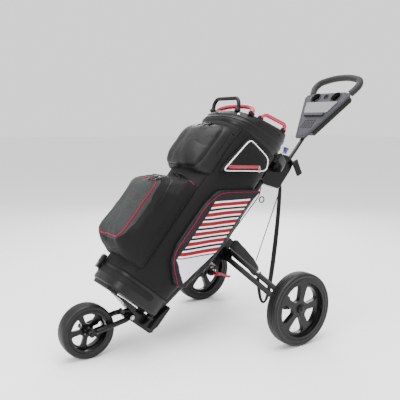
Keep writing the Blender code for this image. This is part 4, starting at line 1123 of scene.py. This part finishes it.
# %% Zips
start, step = Vector((0.164, -0.0833, 0.6228)), Vector((0, 0.795, 0.607))
zip_tape("valuables_zip_cover", [start + step * 0.155 * i / 30 for i in range(31)], 0.0125, (0, -0.643, 0.766),
         on_triangle, gloss_red, 0.0022)
puller("valuables_puller", start + step * 0.150, on_triangle, (0, 0.643, -0.766), zinc, 0.8)
path = rounded_path(mirrored_path([(0.118, -0.215, 0.330), (0.106, -0.215, 0.468)]), 0.06, False)
zip_tape("ball_pocket_zip", path, 0.010, (0, 0.7, 0.7), on_ball, black_plastic, 0.0006, black_cord)
for name, place in (("ball_puller_1", (0.078, -0.258, 0.436)), ("ball_puller_2", (0.046, -0.262, 0.440)),
                    ("ball_puller_3", (0.085, -0.165, 0.500)), ("ball_puller_4", (0.050, -0.165, 0.502))):
    puller(name, place, on_ball, (0.2, -0.8, -0.6))
path = rounded_path(mirrored_path([(0.132, -0.140, 0.640), (0.128, -0.140, 0.770)]), 0.055, False)
zip_tape("cooler_zip", path, 0.010, (0, 0.9, 0.4), on_cooler, black_plastic, 0.0006, black_cord)
for name, place in (("cooler_puller_1", (0.055, -0.190, 0.735)), ("cooler_puller_2", (0.025, -0.195, 0.732)),
                    ("cooler_puller_3", (0.045, -0.150, 0.768))):
    puller(name, place, on_cooler, (0.15, -0.6, -0.8))
print("zips and pullers:", len([n for n in pieces_made if "puller" in n]))

# %% [markdown]
# Small hardware holds it all together: hex nuts and screw heads on the pivots, and rivets round the collar. All of them
# are a head on a washer, so one helper makes a cone with few or many sides, with bevelled edges, on a flat disc.

# %% Hardware
def nut(name, place, axis, radius, height, finish, body, sides=6):
    """A bevelled head on a washer."""
    shape = bmesh.new()
    bmesh.ops.create_cone(shape, cap_ends=True, segments=24, radius1=radius * 1.25, radius2=radius * 1.25,
                          depth=height * 0.3)
    bmesh.ops.translate(shape, vec=(0, 0, height * 0.15), verts=shape.verts)
    head = bmesh.ops.create_cone(shape, cap_ends=True, segments=sides, radius1=radius, radius2=radius * 0.94,
                                 depth=height * 0.7)["verts"]
    bmesh.ops.translate(shape, vec=(0, 0, height * 0.65), verts=head)
    rim = {e for v in head for e in v.link_edges}
    bmesh.ops.bevel(shape, geom=list(rim), offset=radius * 0.08, segments=1, affect="EDGES", profile=0.5, material=-1)
    turn = Vector(axis).to_track_quat("Z", "Y").to_matrix().to_4x4()
    bmesh.ops.transform(shape, matrix=Matrix.Translation(place) @ turn, verts=shape.verts)
    return add_piece(name, shape, finish, body)


for side, sign in SIDES:
    nut(f"{side}_fork_nut", (sign * 0.0560, -0.616, 0.1026), (sign, 0, 0), 0.0085, 0.006, gloss_plastic,
        "front_fork")
    nut(f"{side}_fork_hinge_nut", (sign * 0.0520, -0.452, 0.134), (sign, 0, 0), 0.0070, 0.005, zinc,
        "front_fork")
    nut(f"{side}_hub_screw", (sign * 0.3619, 0.128, 0.146), (sign, 0, 0), 0.0060, 0.0030, gloss_plastic,
        f"{side}_wheel", 12)
a, front, back, height, slope = collar_level(0.76, 0.0012)
for i in range(10):
    x, y = oval_place(math.tau * (i + 0.5) / 10, a, front, back)
    out = BAG.to_3x3() @ Vector((x, y * 1.1, 0))
    nut(f"collar_rivet_{i}", BAG @ Vector((x, y, height + slope * y)), out, 0.0038, 0.0022,
        zinc if i % 3 else black_plastic, "cart_and_bag", 16)
print("nuts and rivets:", len([n for n in pieces_made if "nut" in n or "rivet" in n or "screw" in n]))

# %% [markdown]
# Moulded sleeves sit where the handles meet the mouth, and a buckle and a clip are small blocks too. They could be
# shaped one by one, but at this size a rounded box in the right place is all that shows.

# %% Handle sleeves
def sleeve(name, place, size, finish=black_plastic, body="cart_and_bag", at=BAG):
    """A small moulded block with rounded edges; size is its width, depth and height."""
    shape = bmesh.new()
    bmesh.ops.create_cube(shape, size=1)
    bmesh.ops.scale(shape, vec=size, verts=shape.verts)
    bmesh.ops.bevel(shape, geom=shape.edges[:], offset=min(size) * 0.25, segments=3, affect="EDGES", profile=0.5,
                    material=-1)
    bmesh.ops.transform(shape, matrix=at @ Matrix.Translation(place), verts=shape.verts)
    return add_piece(name, shape, finish, body)


for side, sign in SIDES:
    sleeve(f"{side}_front_handle_foot", (sign * 0.086, -0.146, rim_height(-0.146) + 0.002), (0.024, 0.016, 0.016))
    sleeve(f"{side}_mouth_handle_foot", (sign * 0.129, -0.108, rim_height(-0.108) + 0.003), (0.014, 0.026, 0.016))
for name, y in (("front", -0.062), ("rear", 0.064)):
    sleeve(f"side_handle_{name}_foot", (0.131, y, rim_height(y) + 0.003), (0.013, 0.024, 0.016))
turned = BAG @ Matrix.Translation((-0.073, -0.1785, 0)) @ Matrix.Rotation(math.radians(-18), 4, "Z")
sleeve("base_buckle_frame", (-0.002, 0.0, 0.069), (0.046, 0.014, 0.058), gloss_plastic, at=turned)
sleeve("base_buckle_tongue", (-0.002, -0.006, 0.078), (0.026, 0.006, 0.030), black_plastic, at=turned)
sleeve("leg_slide_clip", (0.178, 0.061, 0.2640), (0.014, 0.016, 0.007), zinc, "left_upper_bar", Matrix())
print("sleeves made")

# %% [markdown]
# The console is a grey moulding with a ring round each cup hole, a round hole between them for tees, a grid of small
# holes below and a shallow line round its edge. Booleans could cut the holes, but they would break up the large smooth
# face. So the rings and the line are swept cords half sunk into the face, and each hole is a thin near-black disc on
# it:
# painted shade that stands in for the shadow inside the hole.

# %% Console details
CONSOLE_FACE, RING_DEPTH = -0.0221, -0.0220
TEE_HOLE = (0.0, 0.374)


# Each disc is painted shade: a near-black patch where the hole's shadowed inside would be.
def console_hole(holes, u, v, radius, back_radius, segments):
    made = bmesh.ops.create_cone(holes, cap_ends=True, segments=segments, radius1=radius, radius2=back_radius,
                                 depth=0.0012)["verts"]
    bmesh.ops.rotate(holes, verts=made, cent=(0, 0, 0), matrix=Matrix.Rotation(math.pi / 2, 3, "X"))
    bmesh.ops.translate(holes, verts=made, vec=(u, CONSOLE_FACE, v))


for name, centre, radius, tube in (("left_cup_ring", (0.063, 0.370), 0.0262, 0.0026),
                                   ("right_cup_ring", (-0.063, 0.370), 0.0262, 0.0026),
                                   ("tee_hole_ring", TEE_HOLE, 0.0120, 0.0020)):
    ring = [HANDLE @ Vector((u, RING_DEPTH, v)) for u, v in arc(centre, radius, 0, 354, 59)]
    swept(name, ring, tube, black_plastic, "handle", closed=True, sides=3)
holes = bmesh.new()
for column in range(5):
    for row in range(5):
        console_hole(holes, (column - 2) * 0.0150, 0.184 + row * 0.0105, 0.0036, 0.0033, 12)
console_hole(holes, *TEE_HOLE, 0.0115, 0.0115, 32)
bmesh.ops.transform(holes, matrix=HANDLE, verts=holes.verts)
# These discs take the near-black finish that paints the holes' shade.
add_piece("console_hole_shade", holes, painted_hole_shade, "handle")
edge_line = rounded_path([(u, CONSOLE_FACE, v) for u, v in (
    (-0.022, 0.136), (0.022, 0.136), (0.051, 0.192), (0.128, 0.366), (0.123, 0.382), (0.098, 0.389))], 0.008, False)
for side, sign in SIDES:
    line = [HANDLE @ Vector((sign * p.x, p.y, p.z)) for p in edge_line if p.x > -0.0001]
    swept(f"{side}_console_line", line, 0.0009, console_grey, "handle")
print("console detailed")

# %% [markdown]
# The floor is one large pale plane, wide enough to reach past every view. A curved backdrop would hide the horizon in
# one view only, and this lesson has to look right from any side.

# %% Floor
ground = bmesh.new()
bmesh.ops.create_grid(ground, x_segments=1, y_segments=1, size=30)
sheet = bpy.data.meshes.new("floor")
ground.to_mesh(sheet)
ground.free()
pale, tree, shader = shader_of("floor_pale", Roughness=0.9)
shader.inputs["Base Color"].default_value = (0.92, 0.92, 0.92, 1)
sheet.materials.append(pale)
floor = bpy.data.objects.new("floor", sheet)
bpy.context.scene.collection.objects.link(floor)
print("floor laid")
